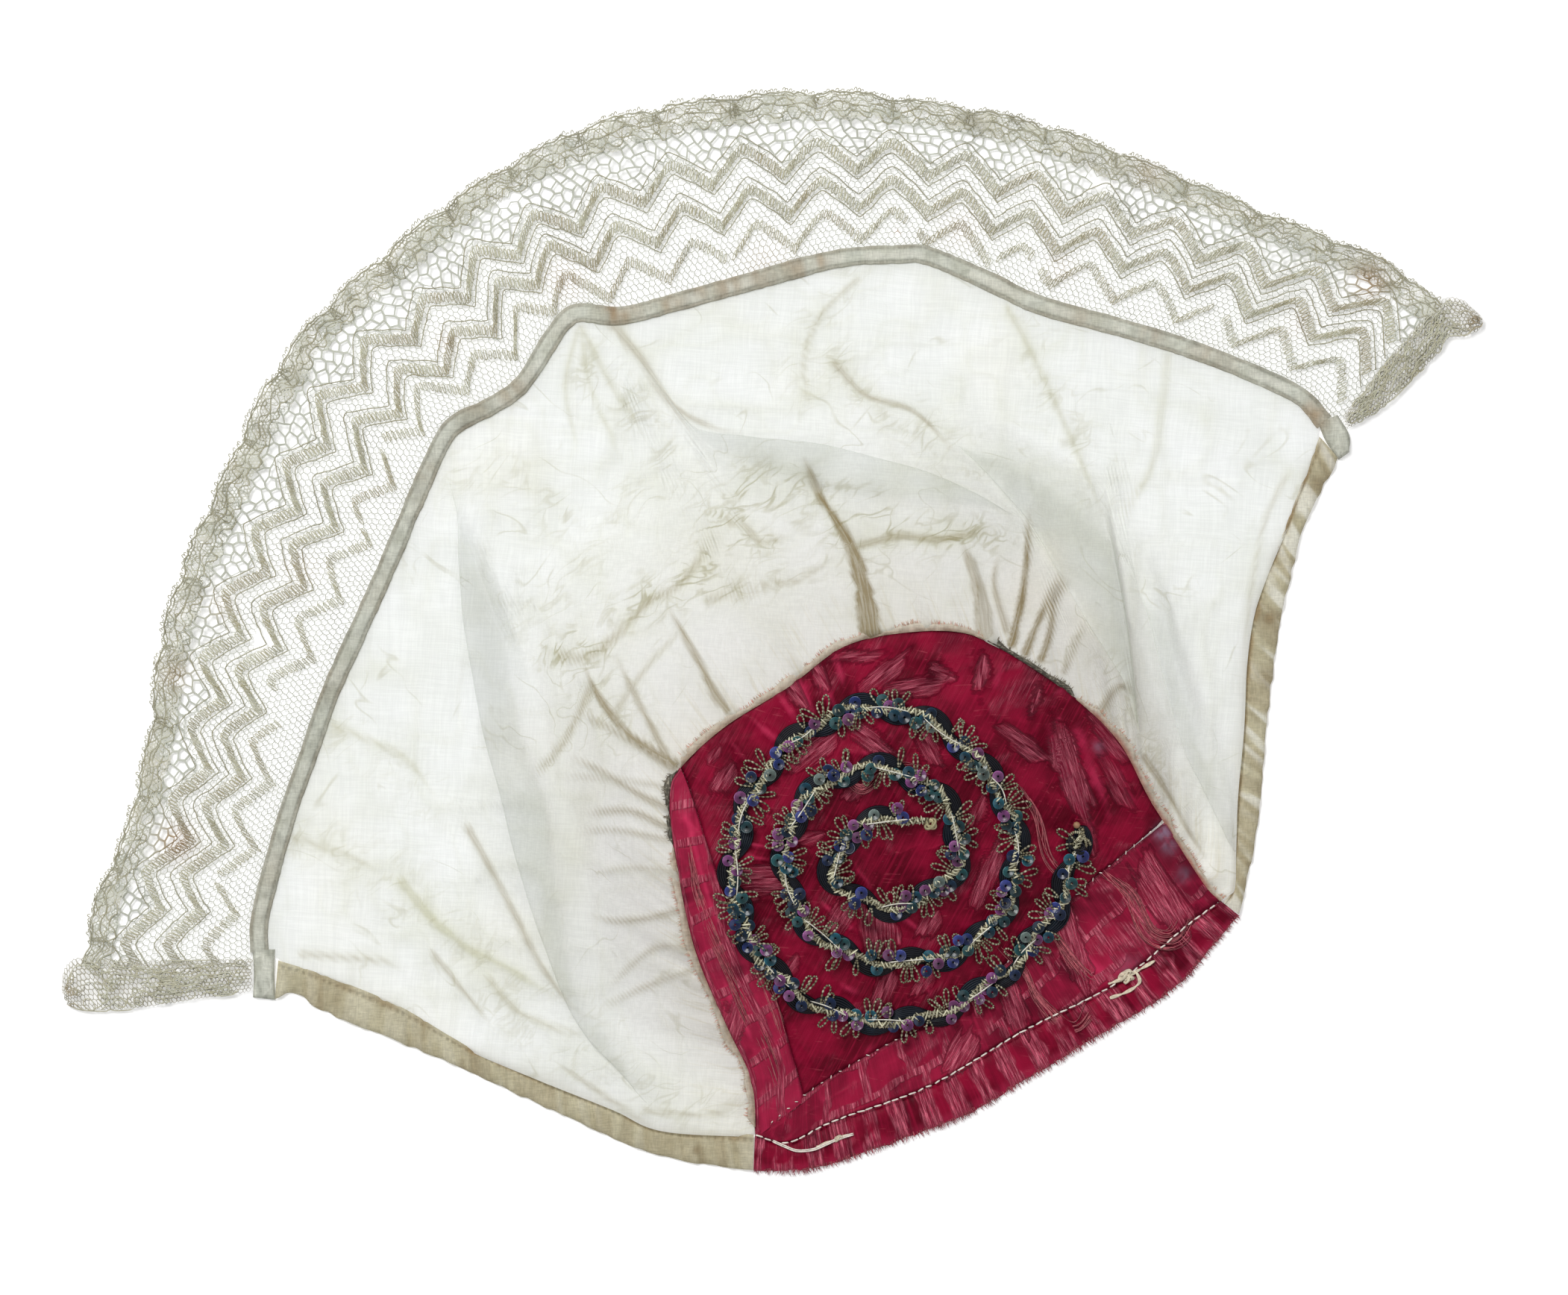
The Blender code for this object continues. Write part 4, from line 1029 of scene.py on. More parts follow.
def crown():
    """The brocade panels, the hem with its running stitch, and the frayed nape edge."""
    side, nape, hem = Path(SIDE_SEAM), Path(NAPE_SEAM), Path(HEM_TOP)
    corner_mm, nape_mm = SEAM.nearest(SIDE_SEAM[0]), SEAM.nearest(NAPE_SEAM[-1])
    panel = crown_panel()
    side_look = brocade_shader("brocade_side", SIDE_FIGURE, 0.6)
    side_strip = crown_strip(
        "crown_side_brocade", lambda u: beyond(SEAM, corner_mm * (1 - 1.014 * u)),
        lambda u: beyond(side, side.length * 1.014 * u), 140, 32,
        side_look, "crown_side_strip", 0.25, True)
    strip_look = brocade_shader("brocade_strip", STRIP_FIGURE, 0.8)
    nape_strip = crown_strip(
        "crown_nape_brocade", lambda u: nape.at(nape.length * u), lambda u: hem.at(hem.length * u),
        220, 40, strip_look, "crown_nape_strip", 0.1, False,
        far_end=lambda v: SEAM.at(nape_mm + (SEAM.length - nape_mm) * v))
    hem_piece = nape_hem_piece(brocade_shader("brocade_hem", HEM_FIGURE, 0.5))
    dyed = dyed_shader("silk_thread", 0.6, bump_size=5.0)
    trims = edgings(dyed) + [loose_silk(dyed), stitching(hem, nape, dyed)]
    for made, flat, held in (
        (side_strip, (0.12, 0.022), "laid"), (nape_strip, (0.18, 0.024), "laid"),
        (hem_piece, (0.18, 0.016), "folded"),
    ):
        plain_sheet(made, flat)


# The muslin

# Each fold of the muslin: which side lies on top, its crisp edge, and the edge that shows
# through the cloth
FOLDS = {
    "left": {
        "on_top": "crown", "growth": 1.3,
        "far": [(-104.5, 52), (-100.5, 30), (-98.5, 5), (-96, -10), (-91.5, -32),
                (-86, -50), (-81.5, -67), (-74.5, -88), (-67, -108),
                (-58, -122), (-44, -136), (-34, -144)],
        "near": [(-104.5, 52), (-91, 12), (-84.5, -5), (-79.5, -30), (-74, -45),
                 (-70.5, -55), (-68, -75), (-65, -92), (-61, -108),
                 (-52, -122), (-41, -134), (-34, -144)],
    },
    "top": {
        "on_top": "crown", "growth": 1.3,
        "far": [(-62, 100), (-50, 96), (-37, 80), (-25, 66), (-8, 61.5),
                (15, 59), (35, 54), (55, 48.5), (70, 42.5), (80, 35.5)],
        "near": [(-62, 100), (-50, 92), (-40, 78), (-27, 61), (-10, 54),
                 (8, 47), (25, 43), (45, 41), (62, 39), (80, 35.5)],
    },
    "right": {
        "on_top": "tape", "growth": 8,
        "far": [(56, 62), (75, 53), (92, 43), (108, 29), (119, 17),
                (125, 3), (125, -8), (121, -20), (116, -34)],
        "near": [(56, 62), (66, 52.5), (78, 41), (84, 33), (90, 22),
                 (100, 4), (108, -9), (112, -17), (116, -34)],
    },
    "narrow": {
        "on_top": "tape", "growth": 3,
        "far": [(119, 14), (127, 0), (131, -18), (136, -35), (142, -50),
                (146, -64), (146, -76)],
        "near": [(119, 14), (123, -2), (126.5, -18), (131, -36), (137, -51),
                 (142.5, -65), (146, -76)],
    },
}

# Pleats and creases of the muslin in plan: widths at both ends, rise, and how tan and how grey their
# painted shade is
CREASES = [
    (6.8, 3.4, 0.8, 0.9, 0.2, [(31.3, -1), (29.5, 10), (27.5, 19), (24.5, 28), (22, 33)]),
    (2.8, 1.2, 1.4, 1, 0.3, [(24.5, 28), (21, 34), (15.5, 42), (11.5, 51), (10, 54.5)]),
    (6, 2, 0.8, 0.5, 0, [(67, 0), (66, 8), (64.5, 16), (60, 28)]),
    (1.2, 1, 1, 0.8, 0.2, [(64.5, 6), (64.5, 16), (60, 28)]),
    (2.8, 1.4, 1, 0.95, 0, [(75.5, -4), (78, 6), (80, 18), (81.8, 38)]),
    (2.4, 1.2, 1, 0.9, 0, [(80, -7), (83.5, 2), (87, 9), (93, 20)]),
    (2.6, 1, 1, 0.9, 0, [(85, -9), (88, 0), (89.5, 10), (95, 18)]),
    (1.6, 1, 0.6, 0.6, 0, [(92, -13), (96, -4), (99, 3)]),
    (2.6, 1.4, 0.3, 0.38, 0.1, [(-50.6, 97.2), (-41, 86), (-32.8, 72.6), (-19.1, 65), (-10, 63)]),
    (2.2, 1.2, 0.9, 0.6, 0.2, [(-31.4, -42.8), (-37.7, -31), (-43, -21), (-49, -9)]),
    (1.8, 1, 0.8, 0.55, 0.2, [(-32, -43), (-44.8, -35), (-53, -30), (-62, -26)]),
    (2.2, 1, 0.9, 0.6, 0.1, [(-33, -56), (-45, -50), (-53, -45), (-64, -40)]),
    (2.2, 0.8, 0.8, 0.55, 0, [(74, 0), (70, 15), (72, 25)]),
    (3, 1, 1.2, 0.75, 0.2, [(-14, -25), (-18, -20), (-23, -10), (-33, 7)]),
    (1.6, 0.8, 0.6, 0.3, 0.2, [(-49, -25), (-40, -12), (-27, 2)]),
    (3.2, 1.2, 1.3, 0.8, 0.2, [(-31, -42), (-38, -38), (-45, -33), (-52, -25), (-57, -17),
                                (-60, -10)]),
    (1.8, 0.8, 0.8, 0.55, 0.3, [(-57, -17), (-62, -28), (-68, -38), (-78, -48)]),
    (2.6, 2.2, 0.9, 0.45, 0.4, [(28, 27), (40, 30), (50, 29), (60, 30), (69, 32)]),
    (2.4, 1.4, 0.8, 0.4, 0.3, [(-67, -8), (-58, -8), (-50, -2), (-38, 10), (-30, 14),
                                (-22, 24), (-15, 35)]),
    (2, 1, 0.7, 0.35, 0.3, [(-15, 35), (-8, 33), (-4, 28), (6, 30)]),
    (1.8, 1, 0.6, 0.3, 0.2, [(-20, 10), (-5, 14), (8, 16), (20, 23)]),
    (2.6, 1, 0.9, 0.55, 0.1, [(-33, -62), (-45, -57), (-60, -58)]),
    (1.8, 0.8, 0.7, 0.45, 0.1, [(-33, -66), (-50, -63), (-62, -64)]),
    (1.6, 0.8, 0.6, 0.35, 0.1, [(-31, -50), (-48, -47), (-68, -46)]),
    (2.4, 1, 0.8, 0.5, 0.1, [(-28, -88), (-40, -91), (-50, -92), (-58, -90)]),
    (2, 0.8, 0.7, 0.4, 0.1, [(-26, -100), (-38, -101), (-52, -113)]),
    (2, 0.8, 0.7, 0.4, 0.1, [(-24, -107), (-38, -112), (-55, -120)]),
    (1.6, 0.8, 0.6, 0.3, 0.1, [(-30, -76), (-46, -75), (-58, -78)]),
    (2.4, 1.2, 0.7, 0.45, 0.1, [(-97, -63), (-90, -75), (-82, -90), (-75, -104), (-66, -117),
                                (-60, -122)]),
    (3, 1.4, 0.8, 0.1, 0.5, [(-118, -80), (-108, -92), (-97, -101), (-85, -107),
                                (-70, -116)]),
    (2.2, 1.2, 0.7, 0.25, 0.3, [(-90, -111), (-80, -122), (-60, -129)]),
    (1.6, 0.8, 0.5, 0.3, 0.1, [(-150, -103), (-125, -105), (-116, -108)]),
    (1.8, 0.8, 0.6, 0.45, 0, [(-108, -103), (-99, -114), (-90, -125)]),
    (1.2, 0.8, 0.4, 0.4, 0.2, [(-65, -140), (-55, -147), (-40, -157)]),
    (1.4, 0.8, 0.4, 0.35, 0.2, [(-40, -153), (-25, -154), (-10, -153)]),
    (1.4, 0.8, 0.5, 0.2, 0.2, [(-155, -65), (-140, -70), (-125, -76)]),
    (1.8, 0.8, 0.6, 0.15, 0.3, [(-140, -30), (-118, -40), (-108, -52)]),
    (1.6, 0.6, 0.6, 0.15, 0.3, [(-61, 97), (-52, 80), (-40, 62)]),
    (1.4, 0.6, 0.5, 0.1, 0.3, [(-61, 97), (-58, 78), (-48, 55)]),
    (1.4, 0.6, 0.5, 0.1, 0.3, [(-62, 96), (-66, 78), (-62, 58)]),
    (1.6, 0.8, 0.6, 0.25, 0.2, [(27, 112), (15, 100), (10, 85), (12, 72)]),
    (2, 0.8, 0.7, 0.45, 0.1, [(20, 85), (30, 75), (45, 70), (58, 57)]),
    (1.6, 0.8, 0.5, 0.15, 0.3, [(75, 103), (83, 88), (95, 62), (102, 45), (107, 32)]),
    (1.6, 0.8, 0.5, 0.15, 0.3, [(126, 88), (124, 70), (120, 50), (106, 30)]),
    (1.2, 0.8, 0.4, 0.25, 0.1, [(164, 50), (157, 35), (153, 15), (150, -10)]),
    (3, 1.4, 0.9, 0.6, 0, [(104, -25), (108, -19), (112, -17), (115, -20)]),
    (2.2, 1, 0.7, 0.6, 0, [(118, -40), (126, -52), (132, -63), (138, -72)]),
]

# Stretches of fine crumples in the muslin, darkened with painted shade: half width in mm, strength, points
# in plan
CRUMPLED = [
    (5, 1, [(-67, -7), (-52, -1.5), (-41, 8), (-33, 12), (-22, 22), (-19, 31), (-13.5, 35.5),
                (-5.5, 30)]),
    (3.5, 0.7, [(-20, 11), (-8, 13.5), (4, 16.5), (11, 18), (21, 22)]),
    (5.5, 0.9, [(-8, 46), (7, 42.5), (19, 36), (28, 30)]),
    (4.5, 1, [(27, 33), (36, 33), (52, 30.5), (60, 29), (69, 30)]),
    (4, 0.8, [(16, 42), (28, 41), (38, 36)]),
    (5, 0.7, [(-67, -8), (-58, -17), (-50, -22), (-46, -34)]),
    (6, 0.4, [(-60, 85), (-45, 70), (-33, 57), (-30, 48)]),
    (6, 0.35, [(-96, 50), (-80, 45), (-68, 38), (-62, 20), (-78, 5)]),
    (4, 0.5, [(-68, 38), (-57, 34), (-48, 40), (-36, 46)]),
    (4, 0.4, [(26, 113), (12, 97), (9, 86), (10, 75)]),
    (5, 0.45, [(21, 86), (30, 75), (42, 68), (54, 58), (63, 54)]),
    (5, 0.35, [(80, 95), (96, 62), (104, 44)]),
    (5, 0.4, [(106, -12), (112, -26), (120, -42), (132, -64)]),
    (6, 0.35, [(-120, -82), (-100, -98), (-80, -110), (-62, -124)]),
    (5, 0.35, [(-150, -66), (-132, -72), (-116, -80)]),
    (5, 0.3, [(-145, -30), (-125, -38), (-110, -52)]),
    (6, 0.3, [(-90, -118), (-66, -132), (-40, -146), (-18, -152)]),
]

# Where the muslin is creamier: x, y, radius, strength
CREAMY = [(83, 12, 12, 0.7), (88, 24, 7, 0.5), (-24, -40, 12, 0.4), (96, 2, 8, 0.4)]

# Soft patches of painted shade where the cloth lies double: x, y, half length, half width, turn, how grey
PATCHES = [
    (-63, -70, 26, 6, 78, 0.45), (118, -30, 16, 6, -65, 0.25),
    (96, 38, 22, 9, -40, 0.3), (-34, 40, 30, 14, 40, 0.15),
    (20, 8, 40, 7, 5, 0.1), (-96, -104, 20, 6, -38, 0.25),
]

COLUMNS = 316
# Points of a ray: plain ones before, between and after its fold slots, and those of a slot
RUNS = (42, 20, 12, 34)
FOLD_STEPS = 39

# The depth from which a fold lies flat on itself, and the least room round a slot, in mm
FOLD_RISE = 12.0
FOLD_ROOM = 0.4

# The folds that each slot of a ray takes up, and where it waits between them: column, share
# of the ray's length
FOLD_SLOTS = (
    (("top",), ((0, 0.07), (36, 0.18), (84, 0.3), (108, 0.48), (262, 0.08), (315, 0.08))),
    (("left", "right"), ((160, 0.96), (185, 0.8))),
    (("narrow",), ((0, 0.6), (36, 0.75), (84, 0.88), (108, 0.985), (160, 0.985), (190, 0.9),
                   (230, 0.75), (262, 0.66))),
)

# How much of the room round an empty slot its points spread into
SPREAD = 0.45


def crossings(start, stop, line):
    """For each ray, how far along it first meets a line, or nan."""
    a, b = line.points[:-1], line.points[1:]
    edge = (b - a)[None]
    run = (stop - start)[:, None]
    offset = a[None] - start[:, None]
    turn = run[..., 0] * edge[..., 1] - run[..., 1] * edge[..., 0]
    turn = np.where(np.abs(turn) < 1e-9, 1e-9, turn)
    along = (offset[..., 0] * edge[..., 1] - offset[..., 1] * edge[..., 0]) / turn
    share = (offset[..., 0] * run[..., 1] - offset[..., 1] * run[..., 0]) / turn
    met = (share >= 0) & (share < 1) & (along > 0.02) & (along < 0.98)
    along = np.where(met, along, np.inf).min(axis=1)
    return np.where(np.isfinite(along), along, np.nan)


def fold_way(a, b, crown_on_top, before=0.0, after=0.0):
    """One ray's stations and layers over a fold: out to b, back to a, and out again.

    A shallow fold turns into plain even steps, so that folds run out without a crease.
    """
    depth = b - a
    bend = min(LAYER / 2, depth / 3)
    out = a + depth * np.linspace(0.0, 1.0, 12)
    back = b - depth * np.array((0.3, 0.7))
    far_turn = b + bend * np.array((0.7, 1.0, 0.7, 0.0))
    near_turn = a - bend * np.array((0.0, 0.7, 1.0, 0.7))
    lead_in, lead_out = a - np.array((0.8, 0.4)), b + np.array((1.2, 2.4, 3.6))
    stations = np.concatenate([lead_in, out, far_turn, back, near_turn, out, lead_out])
    layers = np.concatenate([
        np.zeros(14), (0.2, 0.5, 0.8, 1.0), np.ones(2), (1.0, 1.2, 1.5, 1.8), np.full(15, 2.0)])
    if crown_on_top:
        layers = 2 - layers
    share = ease(depth / FOLD_RISE)
    even = np.linspace(a - FOLD_ROOM - before, b + FOLD_ROOM + after, FOLD_STEPS)
    return stations * share + even * (1 - share), layers * share


def ray_way(length, folds):
    """Stations and layers along one ray: even steps, and there and back over each fold."""
    stations, layers = [np.zeros(1)], [np.zeros(1)]
    for fold, run in zip(folds, RUNS):
        path, layer = fold_way(*fold)
        last = stations[-1][-1]
        even = last + (path[0] - last) * np.arange(1, run + 1) / (run + 1)
        stations += [even, path]
        layers += [np.zeros(run), layer]
    last = stations[-1][-1]
    stations.append(last + (length - last) * np.arange(1, RUNS[-1] + 2) / (RUNS[-1] + 1))
    layers.append(np.zeros(RUNS[-1] + 1))
    return np.concatenate(stations), np.concatenate(layers)


def settled(length, folds):
    """Keeps the slots of one ray apart and in order, and lets empty ones spread between them."""
    real = [b - a > 0.5 for a, b, _, _ in folds]
    leads = [FOLD_ROOM + 0.2 + 0.4 * ease((b - a) / FOLD_RISE) for a, b, _, _ in folds]
    tails = [FOLD_ROOM + 0.2 + 3.2 * ease((b - a) / FOLD_RISE) for a, b, _, _ in folds]
    places, limit = [], length - 2.0
    for k in range(len(folds) - 1, -1, -1):
        b = min(folds[k][1], limit - tails[k])
        a = min(folds[k][0], b)
        places.insert(0, (a, b))
        limit = a - leads[k] if real[k] else limit - leads[k] - tails[k]
    end = 1.0
    for k, (a, b) in enumerate(places):
        a = max(a, end + leads[k])
        places[k] = (a, max(a, b))
        end = places[k][1] + tails[k]
    kept = []
    for k, ((a, b), (_, _, crown, free)) in enumerate(zip(places, folds)):
        last = places[k - 1][1] + tails[k - 1] if k else 0.0
        ahead = places[k + 1][0] - leads[k + 1] if k + 1 < len(places) else length
        spread = SPREAD * free
        kept.append((a, b, crown, spread * (a - leads[k] - last), spread * (ahead - b - tails[k])))
    return kept


def fold_places(start, stop, length):
    """For each slot, the near and far end of its fold on every ray, how it lies, how free it is.

    A fold deepens by its growth from ray to ray. Where a ray has no fold, its place lies
    between those of its neighbours and of the waiting points, and has no depth.
    """
    count, places = np.arange(len(length)), []
    for names, waiting in FOLD_SLOTS:
        near, far = np.full(len(length), np.nan), np.full(len(length), np.nan)
        crown = np.zeros(len(length), bool)
        for name in names:
            fold = FOLDS[name]
            met = [crossings(start, stop, Path(fold[side])) * length for side in ("near", "far")]
            found = np.flatnonzero(np.isfinite(met[0] + met[1]))
            a, b = np.minimum(*met)[found], np.maximum(*met)[found]
            deepest = 0.3 + fold["growth"] * np.minimum(count[found] - found[0], found[-1] - count[found])
            if fold["on_top"] == "crown":
                a = np.maximum(a, b - deepest)
            else:
                b = np.minimum(b, a + deepest)
            near[found], far[found] = a, b
            crown[found] = fold["on_top"] == "crown"
        known = np.flatnonzero(np.isfinite(near))
        away = np.abs(count[:, None] - known[None]).min(axis=1)
        middle = ((near + far) / 2 / length)[known]
        order = np.argsort(np.concatenate([known, [column for column, _ in waiting]]))
        columns = np.concatenate([known, [column for column, _ in waiting]])[order]
        shares = np.concatenate([middle, [share for _, share in waiting]])[order]
        middle = np.interp(count, columns, shares) * length
        near, far = (np.where(np.isfinite(edge), edge, middle) for edge in (near, far))
        places.append((near, far, crown, ease(away / 12.0)))
    return places


def muslin_plan():
    """The muslin in plan, ray by ray from the crown to the tape.

    Gives each ray's place on the seam and length, and each point's way along its ray, layer
    and place.
    """
    places = np.linspace(0.0, 1.0, COLUMNS)
    start = SEAM.beside(places * SEAM.length, -1.2)
    stop = TAPE.beside(0.5 + places * (TAPE.length - 1.0), -(TAPE_WIDTH / 2 - 1.0))
    length = np.linalg.norm(stop - start, axis=1)
    slots = fold_places(start, stop, length)
    ways, lifts = [], []
    for column in range(COLUMNS):
        folds = settled(length[column], [
            (near[column], far[column], crown[column], free[column]) for near, far, crown, free in slots])
        way = ray_way(length[column], folds)
        lift = np.zeros(len(way[0]))
        first = 1
        for (a, b, crown, _, _), run in zip(folds, RUNS):
            first += run
            folded = ease((b - a) / FOLD_RISE)
            if crown:
                lift[:first] += 2 * folded * ease((way[0][:first] - a + 16.0) / 16.0)
            else:
                past = first + FOLD_STEPS
                lift[past:] += 2 * folded * (1 - ease((way[0][past:] - b - 3.0) / 16.0))
            first += FOLD_STEPS
        ways.append(way)
        lifts.append(lift)
    along = np.array([way[0] for way in ways])
    layer = np.array([way[1] for way in ways]) + np.array(lifts)
    share = along / length[:, None]
    plan = start[:, None] + (stop - start)[:, None] * share[..., None]

    # The first and last rays run along the neck seams, and their neighbours bow with them
    for line, side, lean, end in (
        (Path(BAND_LEFT_SEAM), 1, (1 - places) ** 6, 0), (Path(BAND_RIGHT_SEAM), -1, places**6, -1)
    ):
        seam = line.beside(share * line.length, 0.9 * side)
        own = start[end] + (stop[end] - start[end]) * share[..., None]
        inner = ease(along / 5.0) * ease((length[:, None] - along) / 7.0)
        shift = (seam - own) * inner[..., None]
        plan = plan + shift * lean[:, None, None]
    return places, length, along, layer, plan


def muslin():
    """The head part: gathered at the crown, folded over itself, and tucked under the tape."""
    places, length, along, layer, plan = muslin_plan()
    share = along / length[:, None]
    top = crown_height(*SEAM.at(places * SEAM.length).T)
    x, y = plan[..., 0], plan[..., 1]

    # Height: the fall from the crown, the layers of the folds, the gathers and the creases
    fall = LYING + (top[:, None] - LYING) * (1 - ease(share / FALL_BY))
    fall = fall - 1.3 * (1 - ease(along / 2.5))
    loose = 4 * share * (1 - share)
    away = 1 - ease((share - 0.86) / 0.14)
    height = fall + LAYER * layer
    height += 1.6 * np.sin(math.pi * clamp(share / 0.6))
    relief = 0.9 * noise(x, y, 24.0, 1) + 0.5 * noise(x, y, 11.0, 2)
    relief += 0.9 * ridges(x, y, 21.0, 7) + 0.5 * ridges(x, y, 9.0, 8) + 0.3 * ridges(x, y, 5.0, 9)
    around = np.broadcast_to(places[:, None] * SEAM.length, x.shape)
    gathers = noise(around, along * 0.06, 2.6, 12) * np.exp(-along / 9.0)
    gathers += 1.2 * noise(around, along * 0.05, 5.5, 13) * np.exp(-along / 20.0)
    height += (relief * loose + 0.9 * gathers * ease(along / 3.0)) * away
    # Tone: painted shade, grey where the cloth lies double or crumples and browner in its gathers and
    # pleats, and painted light near the crown
    grey, tan = np.zeros_like(x), np.zeros_like(x)
    tan += 0.25 * clamp(gathers) * np.exp(-along / 12.0)
    # Faint painted shade over each fold
    for fold in FOLDS.values():
        outline = np.vstack([Path(fold["far"]).points, Path(fold["near"]).points[::-1]])
        soft = near_line(fold["near" if fold["on_top"] == "crown" else "far"], x, y, 30.0)[0]
        grey = np.maximum(grey, within_outline(outline, x, y) * ease(soft / 2.5) * 0.03)
    flow = np.zeros(x.shape + (3,))
    strongest = np.zeros_like(x)
    for wide, narrow, rise, how_tan, how_grey, points in CREASES:
        gap, part, side, long = near_line(points, x, y, CREASE_REACH)
        half = (wide + (narrow - wide) * part) / 2 * (1 + 0.25 * noise(x, y, 4.0, 15))
        soft = 1.5 - 0.7 * ease((wide - 1.8) / 2.0)
        core = 1 - ease((gap - half + soft / 2) / soft)
        halo = bell(gap / (half * 2.2))
        fade = (1 - 0.85 * ease((part - 0.75) / 0.25)) * (gap < CREASE_REACH)
        height += rise * 0.9 * bell(gap / (half + 0.6)) * fade * away
        # Painted shade: browner along each crease's core and grey round it
        tan = np.maximum(tan, core * how_tan * fade)
        grey = np.maximum(grey, np.maximum(core * how_grey, 0.35 * halo * (0.3 + how_grey)) * fade)
        nearer = core * fade > strongest
        strongest = np.where(nearer, core * fade, strongest)
        streak = np.stack([part * long, gap * side, 0 * gap], axis=-1)
        flow = np.where(nearer[..., None], streak, flow)
    # Painted shade in soft patches where the cloth lies double
    for px, py, long, wide, turn, how_grey in PATCHES:
        u, v = turned_about(x, y, px, py, turn)
        grey = np.maximum(grey, np.exp(-((u / long) ** 2 + (v / wide) ** 2)) * how_grey * 0.5)
    # Painted shade along the crinkles
    grey += 0.10 * ridges(x, y, 9.0, 8) + 0.12 * ridges(x, y, 21.0, 7)
    crumple = np.zeros_like(x)
    for wide, strength, points in CRUMPLED:
        reach = 3.2 * wide
        gap = near_line(points, x, y, reach)[0]
        here = strength * bell(gap / (1.5 * wide)) * (gap < reach)
        crumple = np.maximum(crumple, here * clamp(0.75 + 0.8 * noise(x, y, 7.0, 17)))
    # Painted shade where the cloth is crumpled
    grey += 0.16 * crumple
    height += 0.5 * crumple * ridges(x, y, 3.6, 18) * away
    # Creamier spots and patches of the cloth's own tint, and lighter near the crown as painted light
    cream_and_painted_light = 0.45 * np.exp(-along / 26.0) + 0.2 * ease(noise(x, y, 30.0, 21)) + stain_at(x, y, CREAMY)
    tone = tones(grey, tan, cream_and_painted_light)
    points = np.dstack([x, y, np.maximum(height, 0.35)])
    made = surface("muslin_head_part", points, muslin_shader(), "muslin", ("head_panel",), tone,
                   crease=flow, rays=np.dstack([around, along, crumple]))


# The frill

# From corner to corner of the zigzag in mm, in the net and at the edge, the width of the frill,
# and the depth of its border and of its bunched ends
NET_COLUMN_MM = 23.0
EDGE_COLUMN_MM = 25.0
NET_SHARE_MM = 58.0
BORDER_DEPTH = 10.5
END_DEPTH = 12.5

NET_STAINS = [
    (-190, -67, 6, 0.8), (190, 111, 6, 0.7), (-66, 112, 7, 0.45),
    (-190, -14, 5, 0.4), (-150, 20, 6, 0.3), (60, 128, 6, 0.35),
    (-226, -116, 5, 0.5), (224, 99, 4, 0.5), (168, 98, 5, 0.3),
    (40, 127, 0.7, 2), (-2, 117, 8, 0.4), (-104, 92, 4, 0.4),
    (92, 116, 5, 0.35), (-176, 8, 5, 0.3), (120, 146, 5, 0.3),
]

# Small tears in the net: x, y, how much taller than wide, radius
NET_TEARS = [(-162, -4, 1.3, 3.6), (-84, 137, 1, 2.6), (104, 143, 1, 2.4)]

ROWS = {
    # A zigzag row: spacing of its stitches, their half length and half width, thread radius
    "outer_row": (1.27, 1.62, 0.42, 0.175),
    "middle_row": (1.27, 1.58, 0.42, 0.175),
    "inner_row": (1.5, 1.45, 0.34, 0.15),
}

# Threads that outline a row: the row, and how far outward they run in mm
OUTLINES = (("outer_row", 4.2), ("outer_row", -3.2), ("middle_row", 4.2), ("middle_row", -3.1))

BORDER_CORDS = [
    # Lowest and highest share, wavelength in mm, squareness, radius, how dark
    (0.99, 0.999, 4.6, 0.8, 0.3, 0.45), (0.975, 0.989, 6.5, 1.2, 0.19, 0.3),
    (0.912, 0.945, 12, 1, 0.27, 0.4), (0.925, 0.97, 7.5, 2, 0.16, 0.25),
    (0.842, 0.892, 7.2, 2.6, 0.24, 0.3), (0.872, 0.922, 9.5, 2.2, 0.18, 0.2),
    (0.88, 0.96, 5.3, 1.6, 0.15, 0.15), (0.945, 0.985, 4.1, 1.8, 0.15, 0.25),
]


FRILL_ENDS = [
    # A bunched end: its piece, its two long edges and its node
    ("frill_end_left", END_LEFT_TOP, END_LEFT_BOTTOM, "lace_end_left"),
    ("frill_end_right", END_RIGHT_TOP, END_RIGHT_BOTTOM, "lace_end_right"),
]


def ray(column, corners):
    """A column of FRILL_RAYS, read between its rows and a little past its ends."""
    known, values = FRILL_RAYS["corner"], FRILL_RAYS[column]
    inside = np.interp(corners, known, values)
    slope = (values[-1] - values[0]) / (known[-1] - known[0])
    past = np.clip(corners - known[-1], 0, None) + np.clip(corners - known[0], None, 0)
    return inside + past * slope * column.endswith("_mm")


def frill_width(corners):
    return np.linalg.norm(EDGE.at(ray("edge_mm", corners)) - TAPE.at(ray("tape_mm", corners)), axis=-1)


def frill_point(corners, share, lift=0.0):
    """A point of the frill: share 0 lies on the tape's middle line, 1 on the edge."""
    corners, share = np.broadcast_arrays(np.asarray(corners, float), np.asarray(share, float))
    root = beyond(TAPE, ray("tape_mm", corners))
    tip = beyond(EDGE, ray("edge_mm", corners))
    plan = root + (tip - root) * share[..., None]
    wave = 1.1 * share**2 * (1 - np.cos(corners * math.tau / 3))
    small = 0.25 * noise(plan[..., 0], plan[..., 1], 9.0, 31) * share
    return np.concatenate([plan, (LYING + wave + small + lift)[..., None]], axis=-1)


def zigzag(row, corners, offset_mm=0.0):
    """The share at which a zigzag row runs, with softly rounded corners."""
    corners = np.asarray(corners, float)
    tooth = np.abs(corners - np.round(corners)) * 2
    tooth = (np.sqrt(tooth**2 + 0.012) - 0.110) * 1.02
    mm = corners * NET_COLUMN_MM
    uneven = 0.5 * ripple(mm, 9.0, 45) + 0.3 * ripple(mm, 3.5, 46)
    return ray(row, corners) + (offset_mm + uneven - ZIGZAG_DEPTH * tooth) / frill_width(corners)


